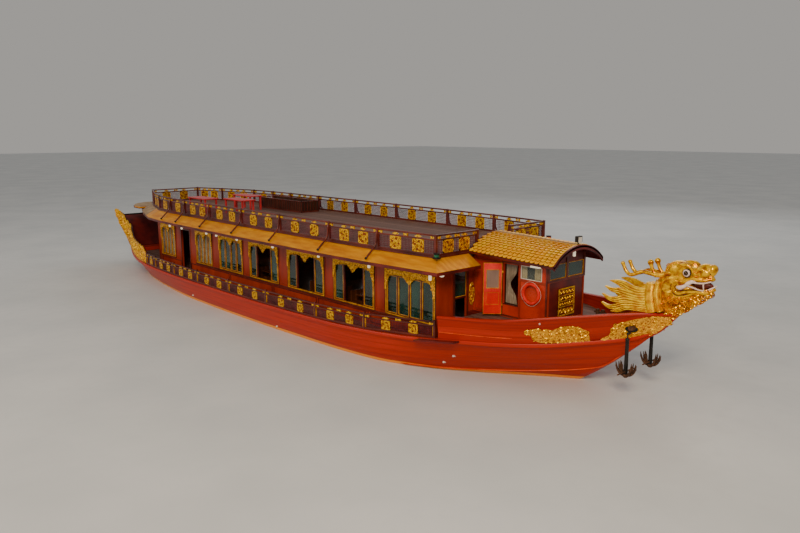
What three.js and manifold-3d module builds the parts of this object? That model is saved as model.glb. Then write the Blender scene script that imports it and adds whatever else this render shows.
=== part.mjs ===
// River dragon boat, in millimetres. +X is the bow, +Y port, +Z up.
// The origin lies on the waterline, amidships on the centreline.
import * as THREE from 'three';
import { mergeVertices } from 'three/addons/utils/BufferGeometryUtils.js';
import Module from 'manifold-3d';

const wasm = await Module();
wasm.setup();

const boat = new THREE.Group();
const GAP = 0.3;
const SIDES = [['starboard', -1], ['port', 1]];

// Colours
const MAROON = '#5a1c1e';
const HULL_RED = '#8e1f14';
const BRIGHT_RED = '#b3261f';
const GOLD = '#d9a11d';
const TILE_YELLOW = '#e0a213';
const DECK_GREY = '#6b625c';
const BRONZE = '#8a6a2f';
const IRON = '#5b4436';
const STEEL = '#6f7276';
const WOOD = '#4a2c20';
const TABLE_RED = '#d0323a';
const BUOY_RED = '#f0341f';

// Driving levels
const MAIN_DECK = 920;
const FOREDECK = 1750;
const SALOON_TOP = 3620;
const UPPER_DECK = 3800;
const SILL = 1510;
const HEAD = 2960;

// Solids

function toSolid(geometry) {
  geometry.deleteAttribute('normal');
  geometry.deleteAttribute('uv');
  const merged = mergeVertices(geometry, 1e-3);
  const mesh = new wasm.Mesh({
    numProp: 3,
    vertProperties: new Float32Array(merged.attributes.position.array),
    triVerts: new Uint32Array(merged.index.array),
  });
  return new wasm.Manifold(mesh);
}

function toGeometry(solid) {
  const mesh = solid.getMesh();
  const geometry = new THREE.BufferGeometry();
  geometry.setAttribute('position', new THREE.BufferAttribute(mesh.vertProperties, 3));
  geometry.setIndex(new THREE.BufferAttribute(mesh.triVerts, 1));
  geometry.computeVertexNormals();
  return geometry;
}

function union(solids) {
  return solids.reduce((sum, next) => sum.add(next));
}

function cut(solid, tools) {
  return tools.reduce((rest, tool) => rest.subtract(tool), solid);
}

function addNode(name, solid, colour, roughness = 0.55, metalness = 0) {
  const material = new THREE.MeshStandardMaterial({ color: colour, roughness, metalness });
  const mesh = new THREE.Mesh(toGeometry(solid), material);
  mesh.name = name;
  boat.add(mesh);
}

function box(x0, x1, y0, y1, z0, z1, matrix = null) {
  const geometry = new THREE.BoxGeometry(x1 - x0, Math.abs(y1 - y0), z1 - z0);
  geometry.translate((x0 + x1) / 2, (y0 + y1) / 2, (z0 + z1) / 2);
  if (matrix) geometry.applyMatrix4(matrix);
  return toSolid(geometry);
}

// A box on one side of the boat, from an inner to an outer half-breadth
function sideBox(side, x0, x1, inner, outer, z0, z1) {
  return box(x0, x1, side * inner, side * outer, z0, z1);
}

function cylinder(radius, height, centre, axis = 'z', segments = 16, topRadius = radius) {
  const geometry = new THREE.CylinderGeometry(topRadius, radius, height, segments);
  if (axis === 'z') geometry.rotateX(Math.PI / 2);
  if (axis === 'x') geometry.rotateZ(-Math.PI / 2);
  geometry.translate(...centre);
  return toSolid(geometry);
}

function ellipsoid(centre, radii, tilt = 0, segments = 12) {
  const geometry = new THREE.SphereGeometry(1, segments, segments * 0.75);
  geometry.rotateX(Math.PI / 2);
  geometry.scale(...radii);
  geometry.rotateY(-tilt);
  geometry.translate(...centre);
  return toSolid(geometry);
}

function extruded(outline, depth) {
  const shape = new THREE.Shape(outline.map(([u, v]) => new THREE.Vector2(u, v)));
  return new THREE.ExtrudeGeometry(shape, { depth, bevelEnabled: false });
}

// An outline of [x, z] points pushed from y0 to y1
function sideProfile(outline, y0, y1) {
  const geometry = extruded(outline, Math.abs(y1 - y0));
  geometry.rotateX(Math.PI / 2);
  geometry.translate(0, Math.max(y0, y1), 0);
  return toSolid(geometry);
}

// An outline of [x, y] points pushed from z0 to z1
function planProfile(outline, z0, z1) {
  const geometry = extruded(outline, z1 - z0);
  geometry.translate(0, 0, z0);
  return toSolid(geometry);
}

function signedVolume(positions, faces) {
  const corner = (index) => new THREE.Vector3().fromArray(positions, index * 3);
  let volume = 0;
  for (let i = 0; i < faces.length; i += 3) {
    volume += corner(faces[i]).dot(corner(faces[i + 1]).cross(corner(faces[i + 2])));
  }
  return volume;
}

function facetSolid(positions, faces) {
  const geometry = new THREE.BufferGeometry();
  geometry.setAttribute('position', new THREE.Float32BufferAttribute(positions, 3));
  geometry.setIndex(signedVolume(positions, faces) < 0 ? faces.reverse() : faces);
  return toSolid(geometry);
}

// A skin through rings of equal point count, closed by flat ends or joined into a loop
function loft(rings, looped = false) {
  const count = rings[0].length;
  const positions = rings.flat(2);
  const faces = [];
  const spans = looped ? rings.length : rings.length - 1;
  for (let i = 0; i < spans; i += 1) {
    const here = i * count;
    const there = ((i + 1) % rings.length) * count;
    for (let j = 0; j < count; j += 1) {
      const k = (j + 1) % count;
      faces.push(here + j, there + j, there + k, here + j, there + k, here + k);
    }
  }
  if (!looped) {
    const last = (rings.length - 1) * count;
    for (let j = 1; j < count - 1; j += 1) {
      faces.push(0, j, j + 1, last, last + j + 1, last + j);
    }
  }
  return facetSolid(positions, faces);
}

// The value of a column at x, straight between the rows of a table sorted by x
function between(table, column, x) {
  const last = table.length - 1;
  if (x <= table[0].x) return table[0][column];
  if (x >= table[last].x) return table[last][column];
  const i = table.findIndex((row) => row.x > x);
  const [a, b] = [table[i - 1], table[i]];
  return a[column] + ((b[column] - a[column]) * (x - a.x)) / (b.x - a.x);
}

// Hull

// Stations from stern to bow: half-breadths and heights of keel, bilge, chine and sheer
const HULL_STATIONS = [
  { x: -15400, keelZ: 1000, bilge: 1500, bilgeZ: 1010, chine: 1900, chineZ: 1040, sheer: 2150, sheerZ: 1190 },
  { x: -14600, keelZ: 520, bilge: 1500, bilgeZ: 540, chine: 2060, chineZ: 640, sheer: 2450, sheerZ: 1130 },
  { x: -13300, keelZ: -30, bilge: 1600, bilgeZ: 0, chine: 2280, chineZ: 130, sheer: 2900, sheerZ: 1060 },
  { x: -11500, keelZ: -400, bilge: 1750, bilgeZ: -330, chine: 2740, chineZ: 60, sheer: 3360, sheerZ: 1010 },
  { x: -9000, keelZ: -780, bilge: 2100, bilgeZ: -660, chine: 3200, chineZ: 40, sheer: 3700, sheerZ: 980 },
  { x: -5000, keelZ: -900, bilge: 2550, bilgeZ: -800, chine: 3660, chineZ: 40, sheer: 3900, sheerZ: 970 },
  { x: 0, keelZ: -900, bilge: 2650, bilgeZ: -820, chine: 3780, chineZ: 40, sheer: 3950, sheerZ: 970 },
  { x: 5000, keelZ: -900, bilge: 2500, bilgeZ: -800, chine: 3700, chineZ: 40, sheer: 3880, sheerZ: 1010 },
  { x: 7500, keelZ: -880, bilge: 2150, bilgeZ: -720, chine: 3500, chineZ: 50, sheer: 3720, sheerZ: 1090 },
  { x: 9500, keelZ: -820, bilge: 1500, bilgeZ: -620, chine: 2800, chineZ: 80, sheer: 3420, sheerZ: 1200 },
  { x: 11000, keelZ: -680, bilge: 880, bilgeZ: -470, chine: 1950, chineZ: 140, sheer: 2880, sheerZ: 1300 },
  { x: 12200, keelZ: -440, bilge: 420, bilgeZ: -260, chine: 1180, chineZ: 220, sheer: 2340, sheerZ: 1360 },
  { x: 13200, keelZ: -150, bilge: 170, bilgeZ: -40, chine: 560, chineZ: 340, sheer: 1680, sheerZ: 1420 },
  { x: 14200, keelZ: 470, bilge: 60, bilgeZ: 500, chine: 130, chineZ: 570, sheer: 900, sheerZ: 1560 },
  { x: 15250, keelZ: 1330, bilge: 40, bilgeZ: 1350, chine: 60, chineZ: 1390, sheer: 300, sheerZ: 1780 },
  { x: 15960, keelZ: 1990, bilge: 15, bilgeZ: 2000, chine: 20, chineZ: 2012, sheer: 40, sheerZ: 2040 },
];

const sheerHalf = (x) => between(HULL_STATIONS, 'sheer', x);
const sheerZ = (x) => between(HULL_STATIONS, 'sheerZ', x);

// The rub rail stands out just below the sheer
const RUB_RAIL = { out: 45, foot: 120 };

function hullRing(s) {
  const deep = Math.min(RUB_RAIL.foot, (s.sheerZ - s.chineZ) * 0.6);
  const inset = ((s.sheer - s.chine) * deep) / (s.sheerZ - s.chineZ);
  const out = Math.min(RUB_RAIL.out, s.sheer * 0.4);
  const halfSide = [
    [s.bilge, s.bilgeZ],
    [s.chine, s.chineZ],
    [s.sheer - inset, s.sheerZ - deep],
    [s.sheer + out, s.sheerZ - deep],
    [s.sheer + out, s.sheerZ - deep * 0.1],
    [s.sheer, s.sheerZ],
  ];
  const starboard = halfSide.map(([y, z]) => [s.x, -y, z]);
  const port = halfSide.map(([y, z]) => [s.x, y, z]).reverse();
  return [[s.x, 0, s.keelZ], ...starboard, ...port];
}

// The bow block above the sheer, up to the gunwale of the bow bulwark
const BOW_AFT = 10300;
const BOW_STATIONS = [
  { x: BOW_AFT, foot: 2700, footZ: 1000, gunwale: 3200, gunwaleZ: 1970 },
  { x: 12200, foot: 1900, footZ: 1150, gunwale: 2640, gunwaleZ: 2100 },
  { x: 13400, foot: 1100, footZ: 1280, gunwale: 1950, gunwaleZ: 2270 },
  { x: 14400, foot: 500, footZ: 1450, gunwale: 1220, gunwaleZ: 2410 },
  { x: 15350, foot: 120, footZ: 1650, gunwale: 650, gunwaleZ: 2550 },
  { x: 16000, foot: 50, footZ: 1975, gunwale: 280, gunwaleZ: 2620 },
  { x: 16600, foot: 20, footZ: 2600, gunwale: 60, gunwaleZ: 2660 },
];
const gunwaleHalf = (x) => between(BOW_STATIONS, 'gunwale', x);

function bowRing(s) {
  const onStem = s.x >= 16000;
  const half = onStem ? s.foot + 12 : sheerHalf(s.x) - 12;
  const height = onStem ? s.footZ + 30 : sheerZ(s.x) - 30;
  return [
    [s.x, -s.foot, s.footZ],
    [s.x, -half, height],
    [s.x, -s.gunwale, s.gunwaleZ],
    [s.x, s.gunwale, s.gunwaleZ],
    [s.x, half, height],
    [s.x, s.foot, s.footZ],
  ];
}

// The foredeck is sunk inside the bow bulwark
const BULWARK = 150;
const WELL_TOP = 3200;

function foredeckWell() {
  const stations = [BOW_AFT - 20, 12200, 13400, 14400, 15350];
  return loft(stations.map((x) => {
    const half = gunwaleHalf(x) - BULWARK;
    return [[x, 60 - half, FOREDECK], [x, -half, WELL_TOP], [x, half, WELL_TOP], [x, half - 60, FOREDECK]];
  }));
}

// The main deck is sunk inside a low toe rail
const TOE_RAIL = 130;
const WELL_AFT = -14800;
const WELL_FORE = BOW_AFT - 150;

function mainDeckWell() {
  const stations = [WELL_AFT, -13300, -11500, -9000, -5000, 0, 5000, 7500, 9500, WELL_FORE];
  return loft(stations.map((x) => {
    const half = sheerHalf(x) - TOE_RAIL;
    return [[x, -half, MAIN_DECK], [x, -half, WELL_TOP], [x, half, WELL_TOP], [x, half, MAIN_DECK]];
  }));
}

// A strip along the sheer: out0 to out1 outside it and dz0 to dz1 above it
function sheerStrip(side, stations, out0, out1, dz0, dz1) {
  return loft(stations.map((x) => {
    const y0 = side * (sheerHalf(x) + out0);
    const y1 = side * (sheerHalf(x) + out1);
    const z = sheerZ(x);
    return [[x, y0, z + dz0], [x, y1, z + dz0], [x, y1, z + dz1], [x, y0, z + dz1]];
  }));
}

// Driving sizes of the houses on deck
const SALOON = { aft: -11300, fore: 9850, half: 2800, wall: 90 };
const WHEELHOUSE = { fore: 12850, half: 980, wall: 60, sill: 3130 };

// Driving sizes below the water and at the bow
const PROP = { x: -12000, y: 1100, z: -640, radius: 280, hub: 62, length: 170 };
const SHAFT = { radius: 55, aft: PROP.x + PROP.length / 2 + GAP, fore: -9600 };
const RUDDER = { x: -12800, y: 1100, top: -260, foot: -900, fore: 230, aft: 400, thickness: 60 };
const BOSS = { radius: 85, foot: -200, top: -40 };
const ENGINE = { x0: -10300, x1: -8800, inner: 380, outer: 1080, z0: -330, z1: 620, margin: 150 };
const HAWSE = { x: 15450, y: 560, z: 2120, radius: 110 };

// The bow bulwarks end at the nose block, and the wheelhouse stands on a base this wide
const NOSE_AFT = 15320;
const BASE_HALF = 1300;

function shaftTube(side) {
  const length = SHAFT.fore - SHAFT.aft;
  return cylinder(SHAFT.radius, length, [(SHAFT.fore + SHAFT.aft) / 2, side * PROP.y, PROP.z], 'x', 12);
}

function rudderBoss(side) {
  const height = BOSS.top - BOSS.foot;
  return cylinder(BOSS.radius, height, [RUDDER.x, side * RUDDER.y, (BOSS.top + BOSS.foot) / 2], 'z', 16);
}

function hull() {
  const body = [loft(HULL_STATIONS.map(hullRing)), loft(BOW_STATIONS.map(bowRing))];
  body.push(sideProfile([[-12700, -780], [-7300, -960], [11000, -880], [11000, -600], [-12700, -120]], -50, 50));
  for (const [, side] of SIDES) {
    body.push(shaftTube(side));
    body.push(sideBox(side, SHAFT.aft + 60, SHAFT.aft + 240, PROP.y - 15, PROP.y + 15, PROP.z, -200));
    body.push(rudderBoss(side));
    body.push(cylinder(HAWSE.radius, 260, [HAWSE.x, side * (HAWSE.y - 130), HAWSE.z], 'y', 20));
  }
  const decked = union(body).subtract(mainDeckWell());
  const wheelhouseBase = box(SALOON.fore + GAP, BOW_AFT + 100, -BASE_HALF, BASE_HALF, MAIN_DECK - 50, FOREDECK);
  const engineWell = box(ENGINE.x0 - ENGINE.margin, ENGINE.x1 + ENGINE.margin,
    -ENGINE.outer - ENGINE.margin, ENGINE.outer + ENGINE.margin, ENGINE.z0 - GAP, MAIN_DECK + 50);
  return cut(decked.add(wheelhouseBase), [foredeckWell(), engineWell]);
}
const HULL = hull();

// The hull in blocks: all below the main deck, then what stands above it fore, aft and along the sides
const FAR = 20000;
const BLOCK_SEAT = MAIN_DECK + GAP;

function hullBlock(x0, x1, y0, y1, z0, z1) {
  return HULL.intersect(box(x0, x1, y0, y1, z0, z1));
}

function bowBlock() {
  const foot = hullBlock(WELL_FORE + GAP, FAR, -FAR, FAR, BLOCK_SEAT, FOREDECK);
  const base = hullBlock(SALOON.fore + GAP, BOW_AFT, -BASE_HALF, BASE_HALF, BLOCK_SEAT, FOREDECK);
  const nose = hullBlock(NOSE_AFT, FAR, -FAR, FAR, FOREDECK - 10, FAR);
  return union([foot, base, nose]);
}

addNode('hull', hullBlock(-FAR, FAR, -FAR, FAR, -FAR, MAIN_DECK), HULL_RED, 0.35);
addNode('stern_block', hullBlock(-FAR, WELL_AFT - GAP, -FAR, FAR, BLOCK_SEAT, FAR), HULL_RED, 0.35);
addNode('bow_block', bowBlock(), HULL_RED, 0.35);
for (const [name, side] of SIDES) {
  addNode(`toe_rail_${name}`, hullBlock(WELL_AFT, WELL_FORE, side * (BASE_HALF + GAP), side * FAR, BLOCK_SEAT, FAR),
    HULL_RED, 0.35);
  addNode(`bulwark_${name}`, hullBlock(BOW_AFT, NOSE_AFT - GAP, 0, side * FAR, FOREDECK + GAP, FAR), HULL_RED, 0.35);
}

function moved(solid, dx, dy, dz) {
  const geometry = toGeometry(solid);
  geometry.translate(dx, dy, dz);
  return toSolid(geometry);
}

// A piece cut by its neighbour, with the gap on every side
function clearOf(solid, other) {
  const shifts = [[GAP, 0, 0], [-GAP, 0, 0], [0, GAP, 0], [0, -GAP, 0], [0, 0, GAP], [0, 0, -GAP]];
  return cut(solid, shifts.map((shift) => moved(other, ...shift)));
}

// What stands on the sheer is cut to it, a gap above the hull
const HULL_SEAT = moved(HULL, 0, 0, GAP);

for (const [name, side] of SIDES) {
  addNode(`engine_${name}`, sideBox(side, ENGINE.x0, ENGINE.x1, ENGINE.inner, ENGINE.outer, ENGINE.z0, ENGINE.z1),
    STEEL, 0.5, 0.6);
}

// Stern wings, the bulwarks of the aft deck raked up behind it, with the transom board between them
const WING_STATIONS = [
  { x: -17350, half: 2200, z0: 3100, z1: 3200 },
  { x: -16900, half: 2170, z0: 2480, z1: 3100 },
  { x: -16400, half: 2150, z0: 2000, z1: 2960 },
  { x: -16000, half: 2140, z0: 1660, z1: 2650 },
  { x: -15400, half: 2160, z0: 1180, z1: 2400 },
  { x: -14700, half: 2420, z0: 1110, z1: 2210 },
  { x: -13100, half: 2940, z0: 1030, z1: 1880 },
  { x: -11500, half: 3340, z0: 990, z1: 1800 },
  { x: -10850, half: 3430, z0: 980, z1: 1720 },
  { x: -10380, half: 3490, z0: 980, z1: 1420 },
];
const WING_THICKNESS = 90;
const wingHalf = (x) => between(WING_STATIONS, 'half', x);

function sternWing(side) {
  return loft(WING_STATIONS.map((s) => {
    const outer = side * s.half;
    const inner = side * (s.half - WING_THICKNESS);
    return [[s.x, outer, s.z0], [s.x, inner, s.z0], [s.x, inner, s.z1], [s.x, outer, s.z1]];
  })).subtract(HULL_SEAT);
}

// The board leans aft along a straight rake between the wings, let into them a little and cut clear
const TRANSOM = { foot: -15300, footZ: 1150, rake: 1.155, thickness: 70, let: 15 };
const TRANSOM_STATIONS = [-15300, -15400, -16000, -16400, -16780];

function transomBoard(wings) {
  const board = loft(TRANSOM_STATIONS.map((x) => {
    const z = TRANSOM.footZ + (TRANSOM.foot - x) * TRANSOM.rake;
    const half = wingHalf(x) - WING_THICKNESS + TRANSOM.let;
    return [[x, -half, z], [x, half, z], [x - TRANSOM.thickness, half, z], [x - TRANSOM.thickness, -half, z]];
  })).subtract(HULL_SEAT);
  return wings.reduce((left, wing) => clearOf(left, wing), board);
}

const WINGS = SIDES.map(([name, side]) => ({ name, solid: sternWing(side) }));
for (const wing of WINGS) {
  addNode(`stern_wing_${wing.name}`, wing.solid, GOLD, 0.4, 0.5);
}
addNode('transom_board', transomBoard(WINGS.map((wing) => wing.solid)), MAROON);

// Saloon

// Windows from bow to stern: centre, width and whether the middle panes stand open
const WINDOWS = [
  { x: 8620, width: 2380, open: false },
  { x: 5670, width: 2300, open: true },
  { x: 2700, width: 2400, open: true },
  { x: -300, width: 2200, open: true },
  { x: -3000, width: 2000, open: false },
  { x: -5450, width: 1500, open: false },
  { x: -9150, width: 1500, open: false },
];
const SIDE_DOOR = { x: -7300, width: 860, top: 2960 };

// The saloon narrows towards its aft wall
const TAPER = { x: -9950, aftHalf: 2350 };

// Half-breadth of the saloon's outer faces
function saloonHalf(x) {
  const along = Math.max(0, TAPER.x - x) / (TAPER.x - SALOON.aft);
  return SALOON.half - along * (SALOON.half - TAPER.aftHalf);
}

// Half plan of the saloon between two crossings, a distance inside its outer faces
function saloonPlan(aft, fore, inset) {
  return [fore, TAPER.x, aft].map((x) => [x, saloonHalf(x) - inset]);
}

function wallCut(side, x, width, z0, z1) {
  return sideBox(side, x - width / 2, x + width / 2, SALOON.half - 300, SALOON.half + 100, z0, z1);
}

function saloonWall(side) {
  const outer = saloonPlan(SALOON.aft, SALOON.fore, 0);
  const inner = saloonPlan(SALOON.aft, SALOON.fore, SALOON.wall);
  const plan = [...outer, ...inner.reverse()].map(([x, y]) => [x, side * y]);
  const wall = planProfile(plan, MAIN_DECK + GAP, SALOON_TOP - GAP);
  const holes = WINDOWS.map((w) => wallCut(side, w.x, w.width, SILL, HEAD));
  holes.push(wallCut(side, SIDE_DOOR.x, SIDE_DOOR.width, MAIN_DECK + 120, SIDE_DOOR.top));
  return cut(wall, holes);
}

// Gold frame and panes of one window
const FRAME = { bar: 55, mullion: 44, depth: 60, proud: 22, pane: 12 };

function windowLayout(side, w) {
  const left = w.x - w.width / 2 + GAP;
  const right = w.x + w.width / 2 - GAP;
  const outer = SALOON.half + FRAME.proud;
  const inner = outer - FRAME.depth;
  const pitch = (right - left) / 4;
  const frame = sideBox(side, left, right, inner, outer, SILL + GAP, HEAD - GAP);
  const lights = w.open ? [[0, 1], [1, 3], [3, 4]] : [[0, 1], [1, 2], [2, 3], [3, 4]];
  const holes = lights.map(([a, b]) => sideBox(side,
    left + a * pitch + (a === 0 ? FRAME.bar : FRAME.mullion / 2),
    left + b * pitch - (b === 4 ? FRAME.bar : FRAME.mullion / 2),
    inner - 50, outer + 50, SILL + FRAME.bar, HEAD - FRAME.bar));
  const glazed = w.open ? [[0, 1], [3, 4]] : [[0, 4]];
  const panes = glazed.map(([a, b]) => sideBox(side, left + a * pitch + 10, left + b * pitch - 10,
    inner + 20, inner + 20 + FRAME.pane, SILL + 25, HEAD - 25));
  return union([cut(frame, holes), ...panes]);
}

function ledge(side, x0, x1) {
  return sideBox(side, x0, x1, SALOON.half + GAP, SALOON.half + 55, SILL - 60, SILL + 22);
}

for (const [name, side] of SIDES) {
  addNode(`saloon_wall_${name}`, saloonWall(side), MAROON, 0.45);
  const fore = WINDOWS.slice(0, 6).map((w) => windowLayout(side, w));
  addNode(`windows_${name}`, union([...fore, ledge(side, -6260, SALOON.fore)]), GOLD, 0.4, 0.4);
  addNode(`aft_window_${name}`, union([windowLayout(side, WINDOWS[6]), ledge(side, -9940, -8360)]), GOLD, 0.4, 0.4);
}

// Front and aft walls of the saloon, each with its doorways
const INNER = SALOON.half - SALOON.wall - GAP;
const FRONT_DOOR = { inner: 1340, outer: 1940, sill: MAIN_DECK + 80, top: 3250 };
const AFT_DOOR = { half: 600, sill: MAIN_DECK + 80, top: 2960 };

function frontWall() {
  const wall = box(SALOON.fore - SALOON.wall, SALOON.fore, -INNER, INNER, MAIN_DECK + GAP, SALOON_TOP - GAP);
  const doors = SIDES.map(([, side]) => sideBox(side, SALOON.fore - 300, SALOON.fore + 100,
    FRONT_DOOR.inner, FRONT_DOOR.outer, FRONT_DOOR.sill, FRONT_DOOR.top));
  return cut(wall, doors);
}

function aftWall() {
  const half = TAPER.aftHalf - SALOON.wall - GAP;
  const wall = box(SALOON.aft, SALOON.aft + SALOON.wall, -half, half, MAIN_DECK + GAP, SALOON_TOP - GAP);
  return wall.subtract(box(SALOON.aft - 100, SALOON.aft + 300, -AFT_DOOR.half, AFT_DOOR.half,
    AFT_DOOR.sill, AFT_DOOR.top));
}
addNode('saloon_wall_front', frontWall(), MAROON, 0.45);
addNode('saloon_wall_aft', aftWall(), MAROON, 0.45);

// The stair well to the upper deck, on the port side
const STAIR = { x0: -7240, x1: -3560, y0: 1510, y1: 2410 };

// Floor with dining tables and benches along both sides, clear of the stair
const FLOOR_TOP = MAIN_DECK + 45;
const TABLE = { height: 740, top: 35, length: 1300, width: 620, y: 1880 };
const BENCH = { height: 430, back: 820 };
const TABLE_ROWS = [8300, 5700, 3100, -900, -3500, -6100];

function diningSet(side, x) {
  const z = FLOOR_TOP - 5;
  const half = TABLE.length / 2;
  const inner = TABLE.y - TABLE.width / 2;
  const outer = TABLE.y + TABLE.width / 2;
  const solids = [
    sideBox(side, x - half, x + half, inner, outer, z + TABLE.height - TABLE.top, z + TABLE.height),
    sideBox(side, x - 60, x + 60, TABLE.y - 60, TABLE.y + 60, z, z + TABLE.height - 10),
  ];
  for (const end of [-1, 1]) {
    const seat = x + end * (half + 140);
    const back = x + end * (half + 330);
    solids.push(sideBox(side, Math.min(seat - 190, back), Math.max(seat + 190, back), inner, outer,
      z, z + BENCH.height));
    solids.push(sideBox(side, Math.min(back, back - end * 60), Math.max(back, back - end * 60), inner, outer,
      z, z + BENCH.back));
  }
  return union(solids);
}

function saloonFloor() {
  const port = saloonPlan(SALOON.aft + SALOON.wall + 1, SALOON.fore - SALOON.wall - 1, SALOON.wall + GAP + 1);
  const starboard = port.map(([x, y]) => [x, -y]).reverse();
  const floor = planProfile([...port, ...starboard], MAIN_DECK + GAP, FLOOR_TOP);
  const starboardSets = TABLE_ROWS.map((x) => diningSet(-1, x));
  const portSets = TABLE_ROWS.filter((x) => x > STAIR.x1 + 1200).map((x) => diningSet(1, x));
  return union([floor, ...starboardSets, ...portSets]);
}
addNode('saloon_floor', saloonFloor(), WOOD, 0.5);

// Upper deck

// Plan of the upper deck: half-breadth from the front edge to the narrowed aft edge
const DECK_PLAN = [
  { x: 9900, half: 2880 },
  { x: 7300, half: 3100 },
  { x: 4700, half: 3180 },
  { x: -1400, half: 3180 },
  { x: -6700, half: 3090 },
  { x: -8300, half: 3040 },
  { x: -9950, half: 2850 },
  { x: -12200, half: 2110 },
  { x: -13900, half: 1420 },
];
const DECK_OUTLINE = [
  ...DECK_PLAN.map((p) => [p.x, -p.half]),
  ...DECK_PLAN.slice().reverse().map((p) => [p.x, p.half]),
];

// An outline moved outward by a distance, with mitred corners
function offsetOutline(outline, distance) {
  const count = outline.length;
  return outline.map(([x, y], i) => {
    const [px, py] = outline[(i + count - 1) % count];
    const [nx, ny] = outline[(i + 1) % count];
    const before = new THREE.Vector2(x - px, y - py).normalize();
    const after = new THREE.Vector2(nx - x, ny - y).normalize();
    const out = new THREE.Vector2(-before.y - after.y, before.x + after.x).normalize();
    const stretch = distance / out.dot(new THREE.Vector2(-before.y, before.x));
    return [x + out.x * stretch, y + out.y * stretch];
  });
}

function upperDeck() {
  const slab = planProfile(DECK_OUTLINE, SALOON_TOP, UPPER_DECK);
  return slab.subtract(box(STAIR.x0, STAIR.x1, STAIR.y0, STAIR.y1, 3500, 3900));
}
addNode('upper_deck', upperDeck(), DECK_GREY, 0.8);

function stairCoaming() {
  const z0 = UPPER_DECK + GAP;
  const shell = box(STAIR.x0 - 60, STAIR.x1 + 60, STAIR.y0 - 60, STAIR.y1 + 60, z0, z0 + 520);
  const inside = box(STAIR.x0, STAIR.x1 + GAP, STAIR.y0, STAIR.y1, z0 - 100, z0 + 700);
  const entry = box(STAIR.x0 - 100, STAIR.x0 + 100, STAIR.y0 + 40, STAIR.y1 - 40, z0 + 60, z0 + 700);
  return cut(shell, [inside, entry]);
}
addNode('stair_coaming', stairCoaming(), WOOD, 0.5);

function stair() {
  const steps = 9;
  const rise = (UPPER_DECK - 60 - FLOOR_TOP) / steps;
  const run = (STAIR.x1 - STAIR.x0 - 260) / steps;
  const solids = [];
  for (let i = 0; i < steps; i += 1) {
    const x1 = STAIR.x1 - 60 - i * run;
    const z = FLOOR_TOP + GAP + (i + 1) * rise;
    solids.push(box(x1 - run - 40, x1, STAIR.y0 + 40, STAIR.y1 - 40, z - 60, z - 20));
  }
  const low = [STAIR.x1 - 60, FLOOR_TOP + GAP];
  const high = [STAIR.x1 - 60 - steps * run, FLOOR_TOP + steps * rise];
  const stringer = [low, [low[0], low[1] + 240], [high[0], high[1] - 10], [high[0] - 40, high[1] - 10],
    [high[0] - 40, high[1] - 260], [low[0] - 260, low[1]]];
  for (const y of [STAIR.y0 + 20, STAIR.y1 - 60]) {
    solids.push(sideProfile(stringer, y, y + 40));
  }
  return union(solids);
}
addNode('stair', stair(), WOOD, 0.5);

// Sloping eave around the deck edge: distance out from it and height
const EAVE = { out: 560, root: 3745, rootFoot: 3660, tip: 3410, tipFoot: 3340 };
const ROOF = { aft: 9915, fore: 13320, half: 1310, ridge: 4240, drop: 110, sag: 520, thickness: 55 };

// Flat canopy over the aft deck, joined to the eave behind the upper deck
const CANOPY = { top: 3560, foot: 3500 };
const CANOPY_PLAN = [
  { x: -13905, half: 2150 },
  { x: -14600, half: 2130 },
  { x: -15500, half: 1780 },
  { x: -16100, half: 1350 },
  { x: -16500, half: 700 },
];

function canopy() {
  const outline = [
    ...CANOPY_PLAN.map((p) => [p.x, -p.half]),
    ...CANOPY_PLAN.slice().reverse().map((p) => [p.x, p.half]),
  ];
  return planProfile(outline, CANOPY.foot, CANOPY.top);
}

function eaveRoof() {
  const inner = offsetOutline(DECK_OUTLINE, GAP);
  const outer = offsetOutline(DECK_OUTLINE, EAVE.out);
  const rings = inner.map(([x, y], i) => {
    const [ox, oy] = outer[i];
    return [[x, y, EAVE.root], [ox, oy, EAVE.tip], [ox, oy, EAVE.tipFoot], [x, y, EAVE.rootFoot]];
  });
  const gapForRoof = box(9800, 10800, -ROOF.half - 40, ROOF.half + 40, 3200, 3900);
  return loft(rings, true).subtract(gapForRoof).add(canopy());
}
const eave = eaveRoof();
const EAVE_SEAT = moved(eave, 0, 0, GAP);
addNode('eave_roof', eave, TILE_YELLOW, 0.45);

// Fences: levels above the foot of one bay
const FENCE = {
  post: 90, postTop: 705, rail: 70, footRail: 70, panelTop: 490, panel: 24, midRail: 50, midTop: 540,
  topFoot: 630, topHeight: 60, topWidth: 80,
};

// The frame of a bay: along a to b, with posts upright whatever the sheer
function bayMatrix(a, b) {
  const along = new THREE.Vector3(b[0] - a[0], b[1] - a[1], 0);
  const length = along.length();
  const slope = (b[2] - a[2]) / length;
  const matrix = new THREE.Matrix4().makeBasis(
    new THREE.Vector3(along.x / length, along.y / length, slope),
    new THREE.Vector3(-along.y / length, along.x / length, 0),
    new THREE.Vector3(0, 0, 1),
  );
  return { matrix: matrix.setPosition(...a), length };
}

// A section drawn in Y and Z, pushed along X
const SECTION_TO_BAY = new THREE.Matrix4().makeBasis(
  new THREE.Vector3(0, 1, 0), new THREE.Vector3(0, 0, 1), new THREE.Vector3(1, 0, 0));

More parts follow.
